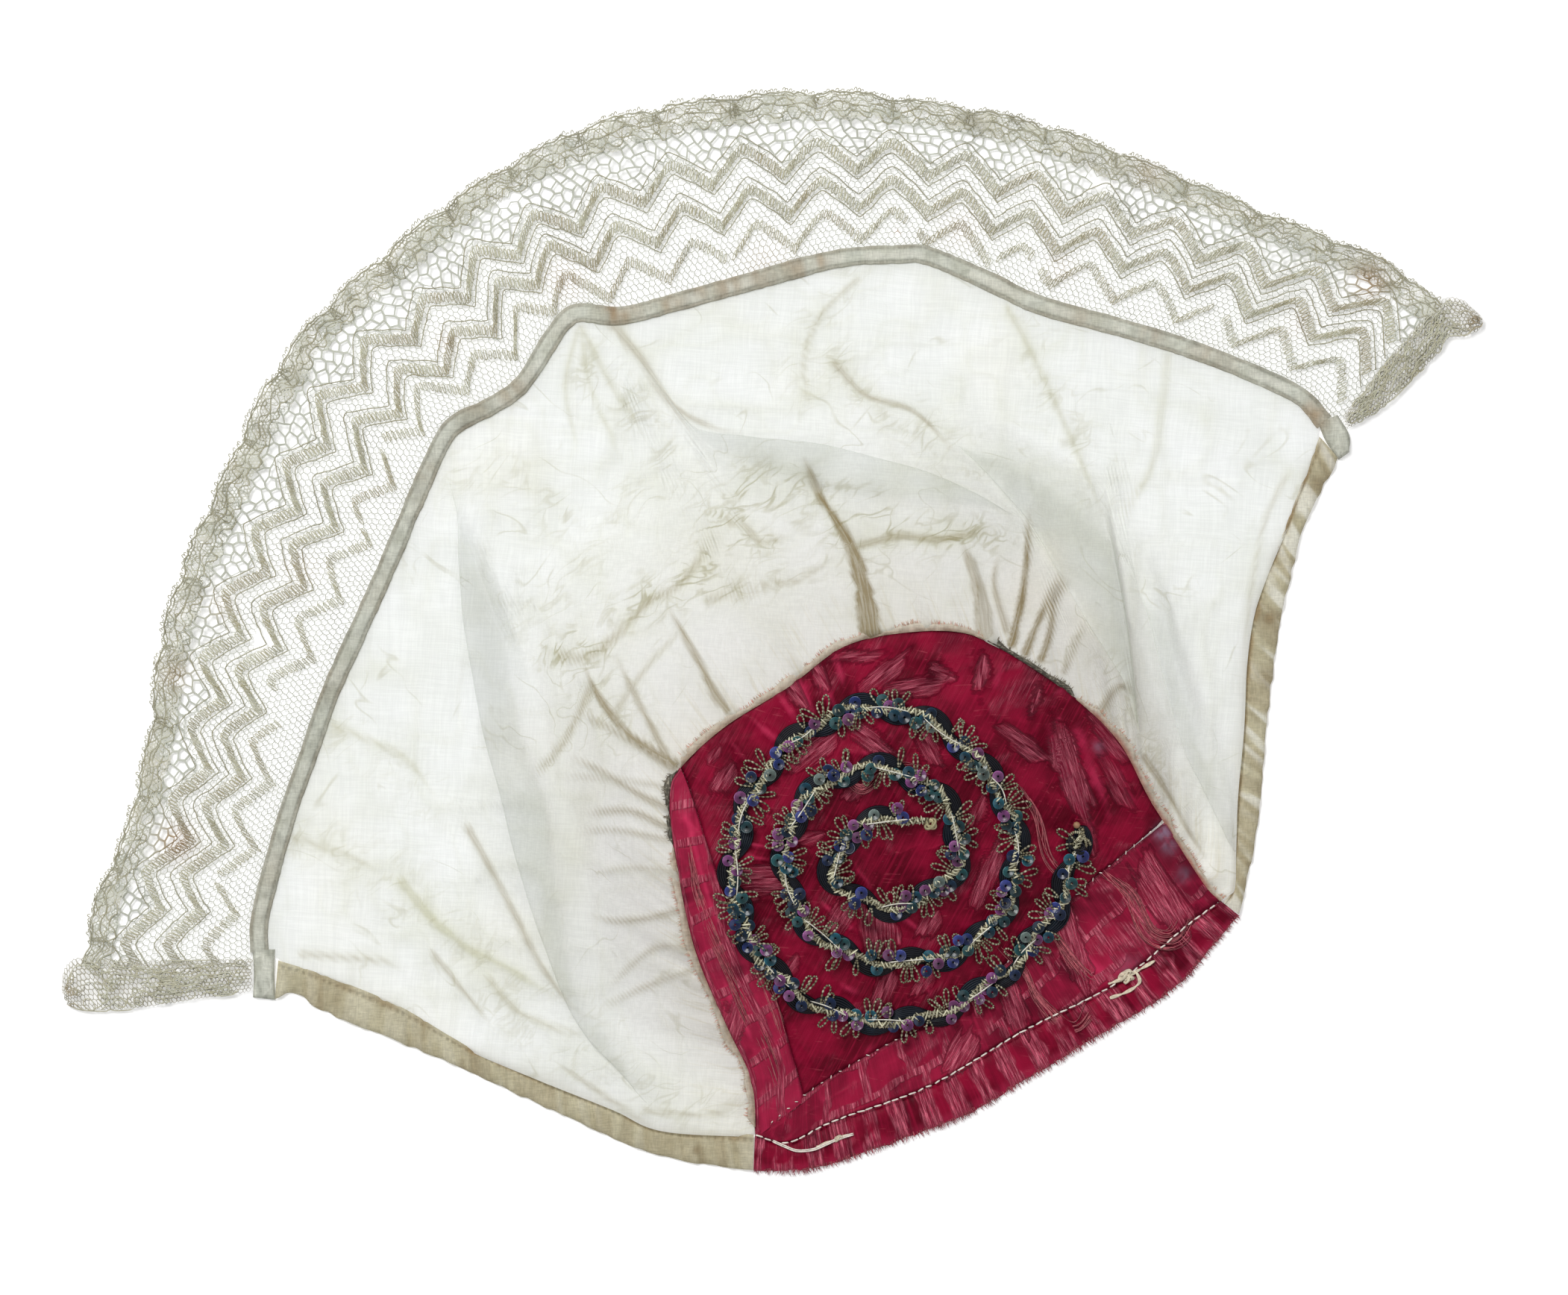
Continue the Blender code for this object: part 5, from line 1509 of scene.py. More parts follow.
def honeycomb(wide, high, cell, jitter):
    """Corners and cells of a sheet of six-sided cells, a little uneven."""
    side = cell / math.sqrt(3)
    columns, rows = int(wide / (side * 0.866)) + 3, int(high / (1.5 * side)) + 2
    i, j = np.indices((columns, rows))
    x = i * side * math.sqrt(3) / 2
    y = j * 1.5 * side + np.where((i + j) % 2 == 0, 1, -1) * side / 4
    x = x + rng.uniform(-jitter, jitter, x.shape) * side
    y = y + rng.uniform(-jitter, jitter, y.shape) * side
    number = i * rows + j
    starts = ((i + j) % 2 == 0) & (i < columns - 2) & (j < rows - 1)
    a, b = i[starts], j[starts]
    around = ((0, 0), (1, 0), (2, 0), (2, 1), (1, 1), (0, 1))
    cells = np.stack([number[a + da, b + db] for da, db in around], axis=-1)
    return x.ravel(), y.ravel(), cells


def net_mesh(points, cells, thread, roof=0.1):
    """Each cell as a ring of six faces, so that the threads stay and the holes are open."""
    ring = points[cells]
    middle = ring.mean(axis=1, keepdims=True)
    reach = np.linalg.norm(ring - middle, axis=2, keepdims=True)
    thread = np.broadcast_to(np.asarray(thread, float).reshape(-1, 1, 1), (len(cells), 1, 1))
    hole = np.clip(1 - thread / (reach * 0.866), 0.12, 0.97)
    inner = middle + (ring - middle) * hole
    used, renumbered = np.unique(cells, return_inverse=True)
    renumbered = renumbered.reshape(cells.shape)
    outer = points[used].copy()
    outer[:, 2] += roof
    first = len(outer) + np.arange(len(cells))[:, None] * 6 + np.arange(6)
    after = np.roll(np.arange(6), -1)
    faces = np.stack([renumbered, renumbered[:, after], first[:, after], first], axis=-1)
    return np.vstack([outer, inner.reshape(-1, 3)]), faces.reshape(-1, 4)


def net_sheet(cell, jitter, low, high, keep):
    """A net between two shares of the frill, of the cells for which keep(corner, share) is true."""
    x, y, cells = honeycomb((LAST_CORNER - FIRST_CORNER) * NET_COLUMN_MM + 8.0,
                            (high - low) * NET_SHARE_MM, cell, jitter)
    bend = noise(x, y, 7.0, 41)
    corners = FIRST_CORNER + x / NET_COLUMN_MM + 0.02 * noise(x, y, 9.0, 42)
    shares = low + y / NET_SHARE_MM + 0.008 * bend
    middle_corner, middle_share = corners[cells].mean(axis=1), shares[cells].mean(axis=1)
    good = keep(middle_corner, middle_share)
    good &= (middle_corner < LAST_CORNER) & (middle_corner > FIRST_CORNER)
    return corners, shares, cells[good]


def net_tone(points, deep=0.0, light=0.0):
    """Tone of net or thread: unevenly dark, with its stains."""
    x, y = points[:, 0], points[:, 1]
    dark = deep + 0.25 * clamp(noise(x, y, 6.0, 43))
    return np.stack([dark + 0 * x, stain_at(x, y, NET_STAINS), light + 0 * x], axis=-1)


def embroidery(row, satin):
    """A zigzag row: long looped stitches side by side, which all lean the same way."""
    pitch, half, width, radius = ROWS[row]
    spot = np.linspace(FIRST_CORNER + 0.05, LAST_CORNER - 0.15, 6000)
    line = frill_point(spot, zigzag(row, spot))
    arc = np.concatenate([[0.0], np.cumsum(np.hypot(*np.diff(line[:, :2], axis=0).T))])
    mm = np.arange(pitch, arc[-1] - pitch, pitch)
    mm = mm + rng.uniform(-0.16, 0.16, len(mm))
    if row == "inner_row":
        # The thinnest row is worn away here and there
        mm = mm[ripple(mm, 9.0, 53) < 0.80]
    corner = np.interp(mm, arc, spot)
    centre = frill_point(corner, zigzag(row, corner), 0.32)
    ahead = np.interp(mm + 0.6, arc, spot)
    run = unit(frill_point(ahead, zigzag(row, ahead))[:, :2] - centre[:, :2])
    outward = unit(frill_point(corner, 1.0)[:, :2] - frill_point(corner, 0.0)[:, :2])
    aside = -left(outward)
    tilt = math.radians(24.0) + 0.18 * ripple(mm, 2.5, 55)
    lean = outward * np.cos(tilt)[:, None] + aside * np.sin(tilt)[:, None]
    cross = left(lean)
    slant = np.abs(lean[:, 0] * run[:, 1] - lean[:, 1] * run[:, 0])
    long = half / np.clip(slant, 0.78, 1.0)
    long = long * (1 + 0.22 * ripple(mm, 1.4, 51) + 0.10 * ripple(mm, 9.0, 52))
    wide = width * (1 + 0.3 * ripple(mm, 1.2, 56))
    turn = np.arange(10) * math.tau / 10
    swing = np.sign(np.cos(turn)) * np.abs(np.cos(turn)) ** 0.7
    loops = np.repeat(centre[:, None], 10, axis=1)
    loops[..., :2] += lean[:, None] * (swing * long[:, None])[..., None]
    loops[..., :2] += cross[:, None] * (np.sin(turn) * wide[:, None])[..., None]
    loops[..., 2] += 0.16 * np.sin(turn)
    mesh, faces = tubes(loops, radius, 3, closed=True)
    tone = net_tone(mesh, 0.0)
    each = np.repeat(np.arange(len(mm)), 30)
    tone[:, 0] = np.clip(0.30 * ripple(each * 0.6, 1.0, 57) + 0.25 * ripple(each * 0.07, 1.0, 58), 0, 0.6)
    tone[:, 1] = np.maximum(tone[:, 1], 0.30 * clamp(ripple(each * 0.11, 1.0, 59)))
    tone[:, 2] = 0.35 * clamp(ripple(each * 0.9, 1.0, 60))
    return piece("frill_" + row, mesh, faces, satin, "net", (), tone)


def frill():
    """The net with its cells open, three embroidered zigzag rows, the border and the bunched ends."""
    net = thread_shader("net", (0.59, 0.605, 0.535), (0.49, 0.50, 0.425))
    satin = thread_shader("embroidery", (0.75, 0.745, 0.59), (0.63, 0.595, 0.42))
    root = (TAPE_WIDTH / 2 - 0.6) / NET_SHARE_MM

    def torn(corner, share):
        x, y, _ = np.moveaxis(frill_point(corner, share), -1, 0)
        rough = noise(x, y, 2.0, 44)
        gaps = [np.hypot(x - tx, (y - ty) / tall) < size + rough for tx, ty, tall, size in NET_TEARS]
        return np.any(gaps, axis=0)

    parts = []
    # Fine net from the tape to the outer row, and wider cells from there to the border
    corners, shares, cells = net_sheet(
        2.1, 0.2, root, 0.84,
        lambda c, s: (s < zigzag("outer_row", c, 3.8)) & (s > root) & ~torn(c, s))
    mesh, faces = net_mesh(frill_point(corners, shares), cells, 0.118, 0.08)
    parts.append((mesh, faces, net_tone(mesh, 0.1)))
    corners, shares, cells = net_sheet(
        3.7, 0.3, 0.50, BORDER_FROM + 0.04,
        lambda c, s: (s > zigzag("outer_row", c, 3.0)) & (s < BORDER_FROM + 0.03) & ~torn(c, s))
    thread = 0.33 + 0.07 * rng.uniform(-1, 1, len(cells))
    mesh, faces = net_mesh(frill_point(corners, shares), cells, thread, 0.1)
    parts.append((mesh, faces, net_tone(mesh, 0.05)))
    parts.append(border_net())
    ground = joined("frill_net", parts, net, "net", ("lace_frill", "lace_border"))

    rows = [embroidery(row, satin) for row in ROWS]

    # Thin threads that outline the two outer rows
    parts = []
    spot = np.linspace(FIRST_CORNER, LAST_CORNER - 0.1, 1100)
    for row, offset in OUTLINES:
        line = frill_point(spot, zigzag(row, spot, offset), 0.25)
        line[:, 1] += 0.28 * noise(spot * EDGE_COLUMN_MM, spot * 0 + offset, 2.2, 61)
        line[:, 0] += 0.2 * noise(spot * EDGE_COLUMN_MM, spot * 0 + offset, 1.7, 62)
        parts.append(threads(line[None], 0.21, lambda at: net_tone(at, 0.40)))
    outlines = joined("frill_outline_threads", parts, satin, "net")
    rows + [outlines, border_cords(satin)]
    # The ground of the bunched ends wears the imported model's own plain material, also named net
    plain_net = bpy.data.materials["net"]
    for end in FRILL_ENDS:
        bunched_end(*end, plain_net, satin)


def edge_share(corners):
    """Where the frill's outer edge runs: drawn in a little at each outer corner."""
    pinch = 0.5 * (1 + np.cos(corners * math.tau)) ** 4 / 8
    return 0.998 - 0.025 * pinch + 0.006 * ripple(corners * EDGE_COLUMN_MM, 3.0, 71)


def wander(low, high, wavelength, square, seed, steps=1120):
    """A cord that wanders between two shares along the border."""
    spot = np.linspace(FIRST_CORNER + 0.05, LAST_CORNER, steps)
    mm = spot * EDGE_COLUMN_MM
    phase = mm / wavelength + 0.35 * ripple(mm, wavelength * 1.4, seed)
    wave = np.sin(phase * math.tau)
    wave = np.tanh(wave * square) / math.tanh(square)
    wave = wave * (0.75 + 0.35 * ripple(mm, wavelength, seed + 1))
    share = (low + high) / 2 + (high - low) / 2 * wave
    shift = 0.035 * ripple(mm, 3.0, seed + 2)
    share = share + 0.003 * ripple(mm, 1.3, seed + 4)
    return spot + shift, share


def border_net():
    """The border's close cells: fuzzy, half filled patches with open ones between."""
    span = LAST_CORNER - FIRST_CORNER
    x, y, cells = honeycomb(span * EDGE_COLUMN_MM + 8.0, BORDER_DEPTH, 1.3, 0.22)
    corners, spread = FIRST_CORNER + x / EDGE_COLUMN_MM, y / BORDER_DEPTH
    inner = BORDER_FROM + 0.014 * np.sin(corners * math.tau * 2.3) - 0.004
    shares = inner + (edge_share(corners) - inner) * spread
    points = frill_point(corners, shares, 0.25)
    points[:, 2] += 0.5 * ridges(points[:, 0], points[:, 1], 4.0, 72)
    cover = noise(x, y, 3.4, 73)[cells].mean(axis=1)
    thread = 0.13 + 0.19 * ease(cover * 1.6 + 0.25)
    good = (corners[cells].max(axis=1) < LAST_CORNER + 0.02) & (spread[cells].max(axis=1) < 1.02)
    good &= ~((cover < -0.35) & (rng.uniform(size=len(cells)) < 0.45))
    mesh, faces = net_mesh(points, cells[good], thread[good], 0.08)
    tone = net_tone(mesh, 0.0)
    tone[:, 2] = np.clip(0.25 + 0.4 * noise(mesh[:, 0], mesh[:, 1], 3.0, 74), 0, 0.5)
    tone[:, 1] = np.maximum(tone[:, 1], 0.18 * clamp(noise(mesh[:, 0], mesh[:, 1], 5.0, 75)))
    return mesh, faces, tone


def border_cords(satin):
    """Wandering cords, a knotty picot edge, and threads that draw the edge in at each corner."""
    parts = []
    for row, (low, high, wavelength, square, radius, dark) in enumerate(BORDER_CORDS):
        spot, share = wander(low, high, wavelength, square, 101 + 10 * row)
        line = frill_point(spot, share * edge_share(spot), 0.55)
        line[:, 2] += 0.3 * ripple(spot * EDGE_COLUMN_MM, 3.0, 104 + 10 * row)
        thick = radius * (1 + 0.3 * ripple(spot * EDGE_COLUMN_MM, 1.2, 105 + 10 * row))
        parts.append(threads(line[None], thick[None], lambda at: net_tone(
            at, dark, 0.3 * clamp(noise(at[:, 0], at[:, 1], 2.0, 106 + row)))))
    count = 520
    spot = np.linspace(0.0, LAST_CORNER - 0.1, count) + rng.uniform(-0.015, 0.015, count)
    base = frill_point(spot, edge_share(spot), 0.35)
    outward = unit(base[:, :2] - frill_point(spot, 0.0)[:, :2])
    aside = -left(outward)
    tall = rng.uniform(0.2, 1.1, count) ** 1.5 * 1.2
    turn = np.linspace(0, math.pi, 6)
    loop = np.zeros((count, 6, 3))
    loop[..., :2] = base[:, None, :2] + outward[:, None] * (np.sin(turn) * tall[:, None])[..., None]
    loop[..., :2] += aside[:, None] * (np.cos(turn) * 0.5 + 0.3 * np.sin(turn))[None, :, None]
    loop[..., 2] = base[:, None, 2] + 0.1
    parts.append(threads(loop, 0.16, lambda at: net_tone(at, 0.4)))
    ties = []
    for corner in range(25):
        for _ in range(6):
            at = corner + rng.uniform(-0.08, 0.08)
            share = np.linspace(rng.uniform(0.86, 0.94), rng.uniform(0.965, 0.99), 9)
            sway = corner + (at - corner) * np.linspace(1.0, 0.4, 9) + rng.uniform(-0.01, 0.01, 9)
            ties.append(frill_point(sway, share, 0.7))
    parts.append(threads(np.array(ties), 0.17, lambda at: net_tone(at, 0.4)))
    return joined("frill_border_cords", parts, satin, "net")


def bunched_end(name, top_line, bottom_line, stands_for, net, satin):
    """A bunched end of the frill: crumpled close net under a tangle of threads."""
    top, bottom = Path(top_line), Path(bottom_line)
    long = (top.length + bottom.length) / 2

    def spot(u, v, lift=0.0):
        a, b = top.at(u * top.length), bottom.at(u * bottom.length)
        plan = a + (b - a) * np.asarray(v)[..., None]
        inside = np.sin(math.pi * clamp(v))
        up = 0.5 + 1.6 * inside**0.7 + 1.1 * ridges(plan[..., 0], plan[..., 1], 4.5, 81) * inside
        return np.concatenate([plan, (up + lift)[..., None]], axis=-1)

    x, y, cells = honeycomb(long, END_DEPTH, 1.4, 0.25)
    cells = cells[(x[cells].max(axis=1) < long + 0.4) & (y[cells].max(axis=1) < END_DEPTH + 0.1)]
    rough = noise(x, y, 3.0, 83)[cells].mean(axis=1)
    mesh, faces = net_mesh(spot(x / long, y / END_DEPTH), cells, 0.13 + 0.10 * ease(rough + 0.5), 0.1)
    tone = net_tone(mesh, 0.0)
    tone[:, 2] = np.clip(0.45 + 0.5 * noise(mesh[:, 0], mesh[:, 1], 3.0, 82), 0.1, 0.8)
    made = piece(name, mesh, faces, net, "net", (stands_for,), tone)
    lines, loops = [], []
    for k in range(34):
        begin = rng.uniform(0, 0.75)
        u = np.linspace(begin, min(1.0, begin + rng.uniform(0.12, 0.5)), 26)
        v = rng.uniform(0.03, 0.97) + 0.2 * ripple(u * 40, 2.5, 200 + k) + 0.1 * (u - begin)
        lines.append(spot(u, clamp(v), 0.35 + rng.uniform(0, 0.5)))
    for k in range(70):
        u0, v0, size = rng.uniform(0.03, 0.97), rng.uniform(0.08, 0.92), rng.uniform(0.7, 1.9)
        turn = np.arange(14) * math.tau / 14
        u = u0 + np.cos(turn) * size / long
        v = v0 + np.sin(turn) * size * rng.uniform(0.5, 1.0) / 12.0
        loops.append(spot(clamp(u), clamp(v), 0.5 + rng.uniform(0, 0.4)))
    parts = []
    for ways, closed in ((lines, False), (loops, True)):
        each = np.repeat(np.arange(len(ways)), len(ways[0]) * 3)
        deep, light = 0.15 + 0.35 * ripple(each * 1.7, 1.0, 84), 0.25 + 0.5 * ripple(each * 2.3, 1.0, 85)
        parts.append(threads(np.array(ways), 0.21, lambda at: np.column_stack(
            [clamp(deep), net_tone(at)[:, 1], clamp(light)]), closed=closed))
    tangle = joined(name + "_tangle", parts, satin, "net")


# Tape and casings

TAPE_STAINS = [
    (-50, 101, 5, 0.85), (-42, 102.5, 4, 0.5), (-33, 105, 5, 0.55), (-24, 108, 4, 0.45),
    (-14, 110.5, 6, 0.5), (-3, 112.5, 5, 0.6), (7, 116, 5, 0.55), (15, 118, 4, 0.7),
    (-83, 77, 6, 0.4), (-95, 71, 6, 0.35), (-112, 52, 6, 0.2), (140, 87, 8, 0.35),
    (172, 68, 5, 0.8), (-160, -76, 8, 0.2), (100, 99, 9, 0.25), (120, 95, 6, 0.3),
]

TABS = [
    # A turned-in end of the tape: its node, its two long edges and how high it stands
    ("binding_tab_left", [(-158.4, -101.5), (-158.8, -109), (-158.4, -117.6)],
     [(-165.8, -101.5), (-165.3, -109), (-165.6, -116.8)], 1.6),
    ("binding_tab_right", [(174.2, 66), (176.5, 60.5), (180.6, 54.6)],
     [(180.2, 69), (184, 62.5), (184, 57)], 2.0),
]


CASINGS = [
    # A neck casing: its piece, seam, edge and node, its columns of points, how brown its seam is (which
    # also sets how strong the painted highlight on its ribs is), and its spots
    ("neck_casing_left", BAND_LEFT_SEAM, BAND_LEFT_EDGE, "neck_band_left", 330, 0.5,
     [(-24, -165.5, 2, 0.6)]),
    ("neck_casing_right", BAND_RIGHT_SEAM, BAND_RIGHT_EDGE, "neck_band_right", 300, 0.95,
     [(158.5, 4, 2.6, 0.8), (174, 47, 4, 0.5), (158, -15, 4, 0.4)]),
]


def tape_tab(name, first, second, lift, cloth):
    """A turned-in end of the tape, twisted and pressed down."""
    u, v, _, _, plan = ribbon(Path(first), Path(second), 60, 30)
    x, y = plan[..., 0], plan[..., 1]
    rim = clamp(np.minimum(v, 1 - v) / 0.15)[None] ** 0.5
    rim = rim * clamp((1 - u) / 0.08)[:, None] ** 0.5
    twist = ridges(x * 0.6 + y * 0.2, y * 0.5 - x * 0.6, 2.6, 95)
    fine = noise(x * 0.9 + y * 0.3, (y - x) * 0.3, 1.0, 96)
    z = 0.15 + (lift + 0.6 * twist + 0.25 * fine) * rim
    # Painted shade in the hollows of the twist and painted highlight on its crests; darker towards the
    # edges and the end
    deep = 0.45 * clamp(0.4 - twist) + 0.35 * clamp(-fine) + 0.4 * (1 - rim)
    tone = tones(deep, stain_at(x, y, TAPE_STAINS), 0.35 * twist)
    return surface(name.replace("binding", "tape"), np.dstack([x, y, z]), cloth, "tape", (name,), tone)


def face_tape():
    """The grey tape along the face seam, with its edge stitches and turned-in ends."""
    cloth = casing_shader("tape", (0.72, 0.735, 0.65), (0.60, 0.61, 0.52), (0.42, 0.30, 0.18), 2.2)
    mm = np.linspace(0.0, TAPE.length, 760)
    across = np.linspace(-1.0, 1.0, 21)
    centre, out = TAPE.at(mm), TAPE.left_of(mm)
    edge = TAPE_WIDTH / 2 * (1 + 0.05 * ripple(mm, 9.0, 91) + 0.05 * ripple(mm, 1.8, 109))
    plan = centre[:, None] + out[:, None] * (across[None, :] * edge[:, None])[..., None]
    x, y = plan[..., 0], plan[..., 1]
    long, wide = mm[:, None], across[None]
    groove = bell((np.abs(wide) - 0.66) / 0.10)
    dome = 0.9 + 0.9 * (1 - wide**4) - 0.45 * groove - 0.55 * clamp(np.abs(wide) - 0.93) / 0.07
    rumple = 0.35 * noise(long + 1.5 * wide, wide * 2, 4.0, 92)
    rumple = rumple + 0.3 * ridges(long + 2 * wide, wide * 3, 5.0, 101)
    height = np.maximum(dome + rumple * (1 - 0.7 * wide**2), 0.25)
    stitch = groove * (0.35 + 0.65 * (np.sin(long * math.tau / 1.9) > -0.2))
    edges = ease((np.abs(wide) - 0.45) / 0.35) * (0.7 + 0.4 * noise(long, wide, 3.0, 102))
    leftward = ease((-60.0 - x) / 40.0)
    mottle = np.clip(noise(x, y, 2.2, 105) + 0.6 * noise(x, y, 5.0, 106), -1, 1)
    deep = 0.30 * edges + 0.36 * stitch + 0.30 * clamp(mottle) + 0.14 * leftward
    rusty = stain_at(x, y, TAPE_STAINS) * (0.75 + 0.6 * noise(long * 1.4, wide * 2, 3.0, 107))
    stain = np.maximum(rusty, 0.22 * edges + 0.12 * clamp(noise(x, y, 14.0, 104)))
    cross = ridges(long * 1.0 + 1.2 * wide, wide, 2.2, 103) * stain_at(x, y, TAPE_STAINS)
    glint = 0.55 * clamp(1 - (wide / 0.6) ** 2) * ease((noise(long, wide * 2, 5.0, 94) + 0.1) / 0.5)
    glint = glint * (1 - 0.6 * leftward) * (1 - 0.5 * stain)
    tone = tones(deep + 0.5 * cross, stain, glint)
    made = surface("face_tape", np.dstack([x, y, height]), cloth, "tape", ("face_binding",), tone)
    [tape_tab(*tab, cloth) for tab in TABS]


def casing(name, seam_line, edge_line, stands_for, columns, brown, spots, cloth):
    """A casing along a neck edge, ribbed by its gathers."""
    seam = Path(seam_line)
    u, v, a, b, plan = ribbon(seam, Path(edge_line), columns, 28)
    wobble = 0.35 * ripple(u * seam.length, 3.0, 97)
    away = (b - a) / np.linalg.norm(b - a, axis=1, keepdims=True)
    plan = plan + away[:, None] * (wobble[:, None] * (v**3)[None])[..., None]
    x, y = plan[..., 0], plan[..., 1]
    long, wide = (u * seam.length)[:, None], v[None]
    ribs = noise(long + 1.6 * wide, wide * 0.7, 1.9, 98)
    ribs = ribs + 0.9 * noise(long - 1.8 * wide, wide * 0.6, 4.6, 99)
    dome = 0.45 + 1.25 * (1 - (2 * wide - 1) ** 4)
    groove = bell((wide - 0.16) / 0.05)
    height = np.maximum(dome + 0.45 * ribs * (1 - groove) - 0.5 * groove, 0.12)
    seam_dirt = brown * bell((wide - 0.10) / 0.12) * (0.75 + 0.9 * noise(long, wide, 5.0, 100))
    # Painted shade in the hollows between the gathers, which goes into both the dark and the stain
    # channels
    pleats = ease((-ribs - 0.15) / 0.6)
    stain = seam_dirt + 0.20 * pleats + 0.20 * ease(noise(long, wide * 3, 9.0, 22) + 0.2)
    stain = np.maximum(stain, stain_at(x, y, spots))
    sewn = 0.6 * groove * (np.sin(long * math.tau / 2.3) > 0.1)
    dark_spots = stain_at(x, y, [(*s[:2], s[2] * 0.7, s[3]) for s in spots])
    rim = 0.3 * ease((wide - 0.93) / 0.07)
    deep = 0.16 * pleats + 0.10 * clamp(noise(x, y, 1.6, 108)) + sewn + dark_spots + rim
    # Painted highlight on the crests of the ribs, stronger on the browner casing
    light = (0.16 + 1.4 * max(brown - 0.5, 0.0)) * ease(ribs * 1.2 + 0.1)
    tone = tones(deep, np.minimum(stain, 0.95), light)
    made = surface(name, np.dstack([x, y, height]), cloth, "casing", (stands_for,), tone)
    plain_sheet(made, (0.012, round(seam.length * MM, 3)))


def casings():
    colours = (0.63, 0.585, 0.42), (0.53, 0.485, 0.335), (0.37, 0.28, 0.16)
    cloth = casing_shader("casing_cloth", *colours, 2.2)
    for row in CASINGS:
        casing(*row, cloth)


# The spiral braid

SEQUIN_COLOURS = np.array([
    (0.13, 0.034, 0.120), (0.008, 0.060, 0.085), (0.0025, 0.013, 0.030), (0.006, 0.014, 0.070),
    (0.15, 0.045, 0.135), (0.09, 0.12, 0.110), (0.006, 0.026, 0.032), (0.004, 0.030, 0.050),
    (0.020, 0.028, 0.130), (0.10, 0.028, 0.085), (0.010, 0.052, 0.058), (0.003, 0.011, 0.040),
])

# The length of one leaf of the braid in mm
BRAID_STEP = 11.8

# The colours of the coiled metal thread, bright to dark: its painted glints and the wraps, its own straw
# colour, and the painted shade between its turns
CREAM = np.array((0.76, 0.74, 0.53))
STRAW = np.array((0.30, 0.265, 0.155))
COIL_GAP_SHADE = np.array((0.040, 0.030, 0.014))


def spiral_path():
    """The line that the braid follows, from the outer end in to the middle."""
    turns = np.linspace(0.0, SPIRAL["turns"][-1], 500)
    radius = Path(list(zip(SPIRAL["turns"], SPIRAL["radius"])))
    radius = np.interp(turns, radius.points[:, 0], radius.points[:, 1])
    angle = math.radians(SPIRAL_START) - turns * math.tau
    around = np.column_stack([radius * np.cos(angle), radius * np.sin(angle)])
    return Path(np.array(SPIRAL_CENTRE) + around)


def braid_gimp(line, at, side):
    """Long leaves of black and navy gimp, which swing from side to side."""
    parts, strands, steps = [], 9, 14
    reach = np.linspace(-0.70, 0.70, steps)
    swell = np.cos(reach / 0.70 * math.pi / 2) ** 0.8
    for k, start in enumerate(at):
        grow = rng.uniform(0.85, 1.2)
        lines = []
        for s in range(strands):
            share = 2 * s / (strands - 1) - 1
            off = side[k] * (2.2 * swell - 0.2) + share * 2.5 * grow * (0.12 + 0.88 * swell)
            up = 0.45 + 1.3 * (1 - share**2) * swell + 0.15 * rng.uniform()
            lines.append(seat(line.beside(start + reach * BRAID_STEP, off), up))
        tint = rng.uniform(0, 1)
        colour = np.array((0.0035, 0.0035, 0.007)) * (1 - tint) + np.array((0.003, 0.009, 0.018)) * tint
        parts.append(threads(np.array(lines), 0.42, colour, 4))
    look = dyed_shader("gimp", 0.55, bump_size=4.0)
    return joined("braid_gimp", parts, look, "braid", ("spiral_braid",))


def beaded(points, count, sides=4):
    """Tone of a coiled wire: every other ring of points is painted shade for a gap between its turns, and
    the others carry random painted glints.
    """
    ring = np.arange(points) % 2
    glint = rng.uniform(0.0, 1.0, (count, points)) ** 1.6
    high = STRAW * (1 - glint[..., None]) + CREAM * glint[..., None]
    tone = np.where(ring[None, :, None] == 0, high, COIL_GAP_SHADE)
    return np.repeat(tone.reshape(-1, 3), sides, axis=0)


def braid_cords(line, metal):
    """Knotty strands of pale metal thread along the middle, wraps, and long straight couching."""
    parts = []
    mm = np.arange(0.0, line.length, 0.44)
    wave = 1.1 * np.sin(mm / BRAID_STEP * math.pi + 1.2) + 0.5 * ripple(mm, 6.0, 33)
    for strand in range(3):
        phase = mm * math.tau / 3.0 + strand * math.tau / 3 + 1.5 * ripple(mm, 6.0, 40)
        off = wave + (0.75 + 0.35 * ripple(mm, 4.0, 41 + strand)) * np.cos(phase)
        up = 2.3 + 0.5 * np.sin(phase) + 0.25 * ripple(mm, 5.0, 34)
        knobs = 0.34 * (1 + 0.35 * np.cos(np.arange(len(mm)) * math.pi)) * (1 + 0.2 * ripple(mm, 2.0, 45))
        parts.append(threads(seat(line.beside(mm, off), up)[None], knobs[None], beaded(len(mm), 1), 4))
    wraps, floats = [], []
    for position in np.arange(2.0, line.length - 2.0, 1.15):
        centre = np.interp(position, mm, wave) + rng.uniform(-0.4, 0.4)
        t = np.linspace(-1, 1, 7)
        off = centre + t * rng.uniform(0.8, 1.7) * rng.choice((-1, 1))
        wraps.append(seat(line.beside(position + t * rng.uniform(0.3, 1.2), off), 3.0 - 0.8 * t**2))
    wraps = np.array(wraps)
    parts.append(threads(wraps, 0.26, shades(0.35, 1.1, len(wraps), 7 * 4, CREAM), 4))
    position = 8.0
    while position < line.length - 20:
        span = rng.uniform(9.0, 17.0)
        begin, end = line.at(position), line.at(position + span)
        t = np.linspace(0, 1, 12)[:, None]
        bow = line.left_of(position + span / 2) * rng.uniform(-1.2, 1.2)
        floats.append(seat(begin + (end - begin) * t + bow * np.sin(t * math.pi), 3.2 + 0.0 * t[:, 0]))
        position += span + rng.uniform(4.0, 22.0)
    parts.append(threads(np.array(floats), 0.2, (0.80, 0.78, 0.68), 4))
    return joined("braid_cords", parts, metal, "braid")


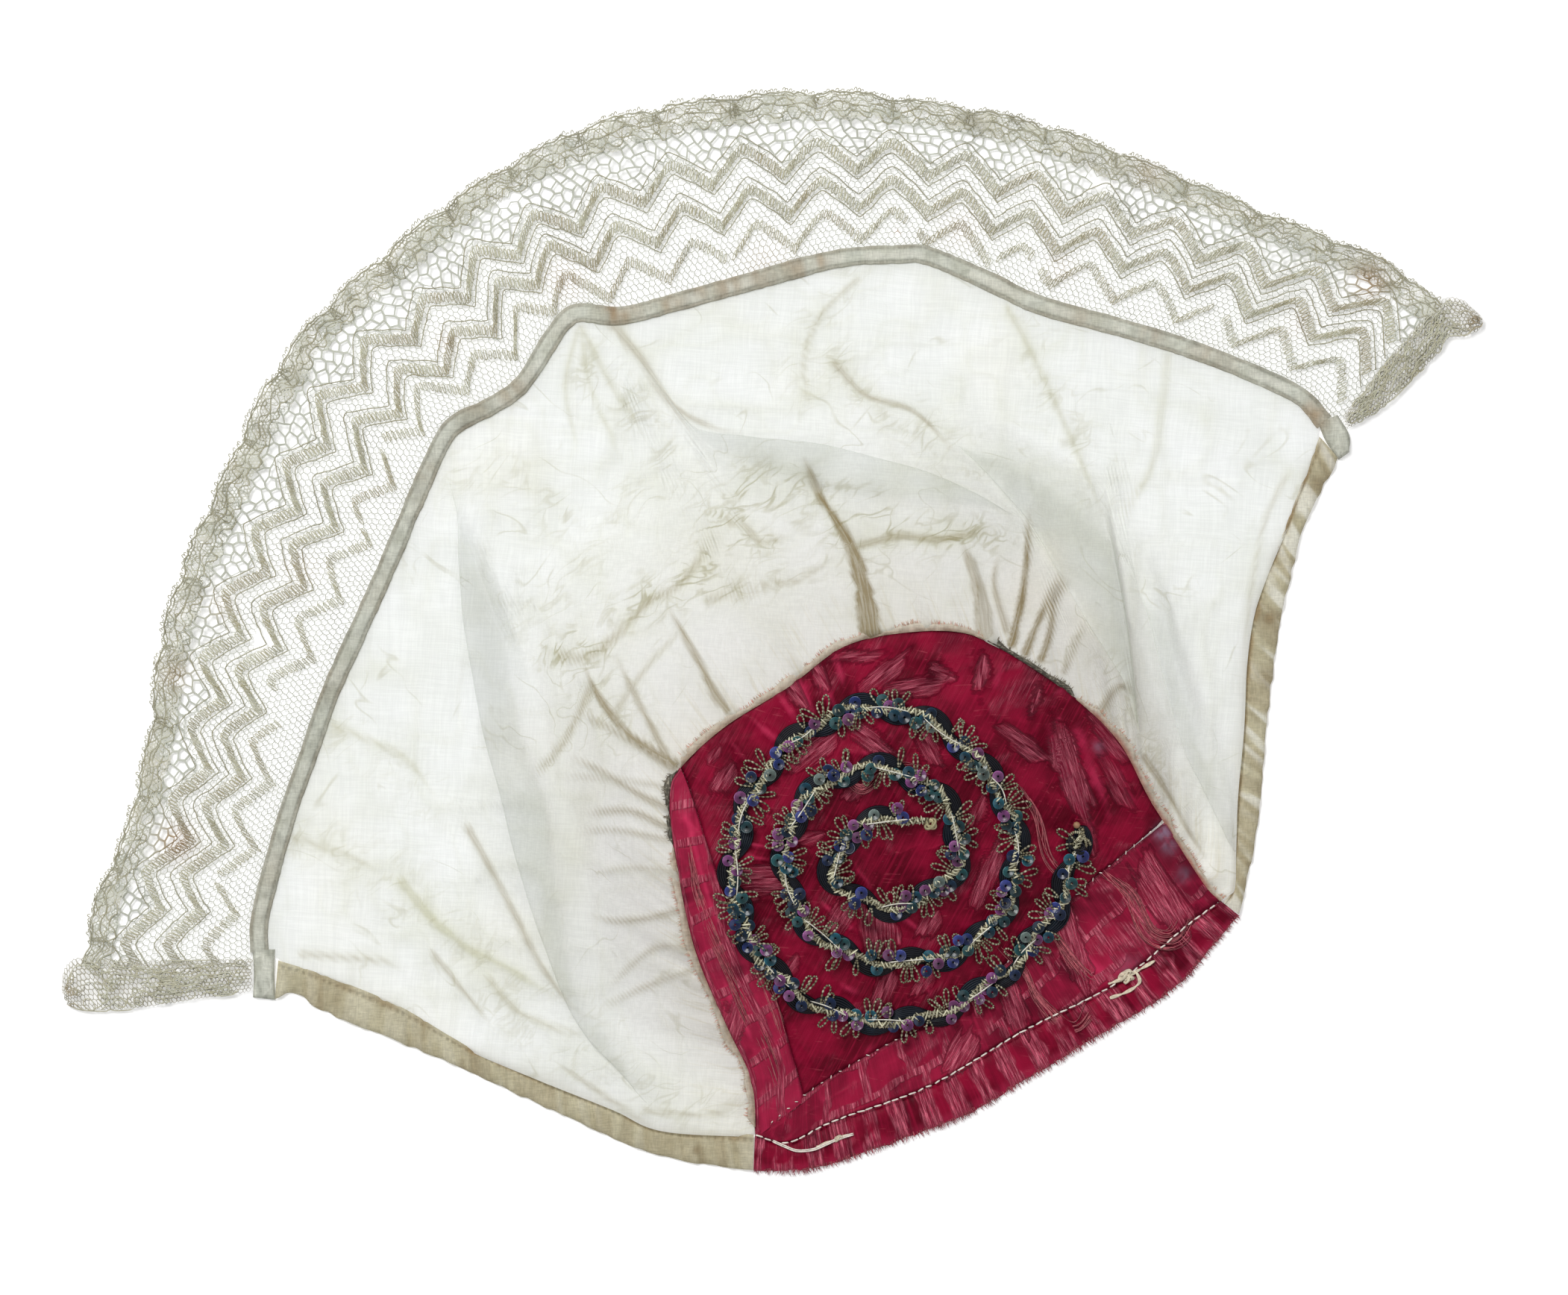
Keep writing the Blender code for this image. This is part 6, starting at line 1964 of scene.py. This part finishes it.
def braid_loops(line, at, side, metal):
    """Sprays of loops of coiled metal wire on alternate sides."""
    lines, steps = [], 29
    turn = np.linspace(0, math.tau, steps)
    for k, start in enumerate(at):
        for shift, away, most in ((0.0, -side[k], 4), (0.5, side[k], 2)):
            base_mm = start + shift * BRAID_STEP + rng.uniform(-1.0, 1.0)
            number = int(rng.integers(most // 2, most + 1))
            if base_mm > line.length - 3 or number == 0:
                continue
            forward = unit(line.at(base_mm + 0.5) - line.at(base_mm - 0.5))
            normal = line.left_of(base_mm) * away
            for f in range(number):
                middle = f - (number - 1) / 2
                fan = middle * rng.uniform(0.35, 0.6) + rng.uniform(-0.25, 0.25)
                long, wide = rng.uniform(4.2, 6.8), rng.uniform(0.9, 1.6)
                out = long * (1 - np.cos(turn)) / 2
                aside = wide * np.sin(turn) * (0.25 + 0.75 * out / long)
                axis = normal * math.cos(fan) + forward * math.sin(fan)
                cross = forward * math.cos(fan) - normal * math.sin(fan)
                plan = line.at(base_mm) + forward * middle * 1.1 + normal * 0.9
                plan = plan + axis * out[:, None] + cross * aside[:, None]
                droop = 1.1 * ease((out - 2.0) / 3.5)
                up = 2.3 + 0.5 * rng.uniform() + 0.5 * np.sin(turn) * rng.choice((-1, 1)) - droop
                lines.append(seat(plan, up))
    lines = np.array(lines)
    beads = 0.28 * (1 + 0.30 * np.cos(np.arange(steps) * math.pi))
    tone = beaded(steps, len(lines)) * 0.8
    return joined("braid_loops", [threads(lines, beads[None], tone, 4)], metal, "braid")


def braid_sequins(line, at, side):
    """Thin cupped discs with a hole, in clusters."""
    discs = []
    for k, start in enumerate(at):
        for shift, off in ((0.30, 1.9), (0.46, -1.3), (0.60, 2.4), (0.76, 0.4), (0.92, -2.2), (1.05, 1.2)):
            position = start + (shift + rng.uniform(-0.06, 0.06)) * BRAID_STEP
            if rng.uniform() > 0.30 and position < line.length - 2:
                discs.append((position, off * side[k] * rng.uniform(0.8, 1.4)))
    discs = np.array(discs)
    count = len(discs)
    centre = seat(line.beside(discs[:, 0], discs[:, 1]), 2.9 + rng.uniform(-0.4, 0.4, count))
    turn = np.arange(20) * math.tau / 20
    rings = np.array((0.36, 0.50, 1.15, 1.70, 1.90, 1.96))
    cup = np.array((-0.16, -0.08, 0.0, 0.20, 0.26, 0.20))
    disc = np.stack([rings[:, None] * np.cos(turn), rings[:, None] * np.sin(turn),
                     cup[:, None] + 0 * turn], -1).reshape(-1, 3)
    tilt = rng.uniform(-0.28, 0.28, (count, 2))
    points = np.repeat(disc[None], count, 0) * rng.uniform(0.9, 1.04, (count, 1, 1))
    points[..., 2] += points[..., 0] * tilt[:, :1] + points[..., 1] * tilt[:, 1:]
    points = points + centre[:, None]
    skin = grid_faces(6, 20, wrap=True)[:, ::-1]
    faces = (skin[None] + (np.arange(count) * 120)[:, None, None]).reshape(-1, 4)
    colour = SEQUIN_COLOURS[rng.integers(0, len(SEQUIN_COLOURS), count)]
    # Darker towards the hole, a painted highlight on the outer ring, and one side of each disc painted
    # lighter than the other
    rim = np.array((0.35, 0.7, 1.0, 1.2, 1.9, 1.6))
    shine = 1.0 + 0.5 * np.cos(turn - 2.2)
    tone = colour[:, None, None] * rim[None, :, None, None] * shine[None, None, :, None]
    look = dyed_shader("sequin", 0.30, 0.0, 0.15, 2.0, 0.06)
    return piece("braid_sequins", points, faces, look, "braid", (), tone)


# The braid's two ends: centre, size, colour, strands. The outer one has two bows of wire
BRAID_KNOTS = [
    ((96.8, -68), 3.6, np.array((0.006, 0.006, 0.010)), 14),
    ((50, -61), 2.0, STRAW * 1.6, 7),
]
BRAID_BOWS = [
    [(94, -65), (96, -63.8), (98.5, -64.6), (99.6, -67), (99.8, -68.8)],
    [(95.6, -67.2), (97.8, -65.9), (100.2, -66.4), (101.2, -68.2)],
]


def braid_knots():
    """The outer end's black knot with its bead, and the inner end's gimp knot."""
    parts = []
    for (kx, ky), size, colour, strands in BRAID_KNOTS:
        for s in range(strands):
            turn = np.linspace(0, math.tau * 2, 44)
            tip = rng.uniform(0.5, 1.0)
            lean = rng.uniform(0, math.pi)
            u, v = size * np.cos(turn) * tip, size * 0.8 * np.sin(turn) * tip
            spot = np.column_stack([kx + u * math.cos(lean) - v * math.sin(lean) * 0.7,
                                    ky + u * math.sin(lean) + v * math.cos(lean) * 0.7])
            up = 1.4 + 1.3 * rng.uniform() + 0.6 * np.sin(turn + s)
            parts.append(threads(seat(spot, up)[None], 0.42, colour * rng.uniform(0.7, 1.3), 4))
    for bow in BRAID_BOWS:
        arch = Path(bow)
        mm = np.linspace(0, arch.length, 31)
        knobs = 0.40 * (1 + 0.25 * np.cos(np.arange(31) * math.pi))
        parts.append(threads(seat(arch.at(mm), 3.4 + 0 * mm)[None], knobs[None], beaded(31, 1) * 1.1, 4))
    turn = np.linspace(0.02, math.pi - 0.02, 12)
    bead = np.column_stack([96.6 + 0 * turn, -61.6 + 0 * turn, 0 * turn])
    bead = seat(bead[:, :2], 2.2 - 1.2 * np.cos(turn))
    lean = np.array((0, 1, 0)) * np.linspace(-1e-3, 1e-3, 12)[None, :, None]
    parts.append(threads(bead[None] + lean, (1.15 * np.sin(turn))[None], (0.35, 0.20, 0.11), 8))
    return joined("braid_knots", parts, dyed_shader("knot", 0.55, bump_size=4.0), "braid")


def braid():
    """Black gimp, metal cords, wire loops and sequins, couched down in a spiral."""
    line = spiral_path()
    count = int(line.length / BRAID_STEP)
    at = (np.arange(count) + 0.5) * BRAID_STEP
    side = np.where(np.arange(count) % 2 == 0, 1.0, -1.0)
    metal = dyed_shader("metal_thread", 0.5, 0.0, bump_size=6.0, bump=0.4)
    braid_gimp(line, at, side)
    braid_cords(line, metal)
    braid_loops(line, at, side, metal)
    braid_sequins(line, at, side)
    braid_knots()


# The stage

FLOOR_HALF = 4.0
FLOOR_LEVEL = -0.0004
FLOOR_GLOW = 0.22
SKY_GLOW = 0.35
CAMERA_PLACE = (0.00375, -0.00525, 2.778)
LENS, SENSOR = 200.0, 36.0

LAMPS = [
    # name, place in metres, size in metres, power in watts
    ("key", (-0.9, 1.1, 1.9), 0.9, 40.0),
    ("fill", (1.3, -0.8, 1.7), 1.6, 10.0),
]


def stage():
    """A pale table lit from above, a soft studio and the camera of the photo."""
    look = Shader("floor", 0.9, 0.1, **{
        "Base Color": (0.92, 0.92, 0.92), "Emission Color": (1.0, 1.0, 1.0),
        "Emission Strength": FLOOR_GLOW})
    data = bpy.data.meshes.new("floor")
    data.from_pydata([(a * FLOOR_HALF, b * FLOOR_HALF, FLOOR_LEVEL)
                      for a, b in ((-1, -1), (1, -1), (1, 1), (-1, 1))], [], [(0, 1, 2, 3)])
    data.materials.append(look.material)
    floor = bpy.data.objects.new("floor", data)
    bpy.context.scene.collection.objects.link(floor)

    world = bpy.data.worlds.new("studio")
    world.use_nodes = True
    background = world.node_tree.nodes["Background"]
    background.inputs["Color"].default_value = (1.0, 1.0, 1.0, 1.0)
    background.inputs["Strength"].default_value = SKY_GLOW
    bpy.context.scene.world = world

    for name, place, size, power in LAMPS:
        light = bpy.data.lights.new(name, "AREA")
        light.energy, light.size = power, size
        lamp = bpy.data.objects.new(name, light)
        lamp.location = place
        direction = -np.array(place) / np.linalg.norm(place)
        turn = math.atan2(direction[1], direction[0]) - math.pi / 2
        lamp.rotation_euler = (math.acos(-direction[2]), 0.0, turn)
        bpy.context.scene.collection.objects.link(lamp)

    data = bpy.data.cameras.new("camera")
    data.lens, data.sensor_width = LENS, SENSOR
    camera = bpy.data.objects.new("camera", data)
    camera.location = CAMERA_PLACE
    bpy.context.scene.collection.objects.link(camera)
    bpy.context.scene.camera = camera
    bpy.context.scene.view_settings.view_transform = "Standard"


stage()
crown()
muslin()
frill()
face_tape()
casings()
braid()
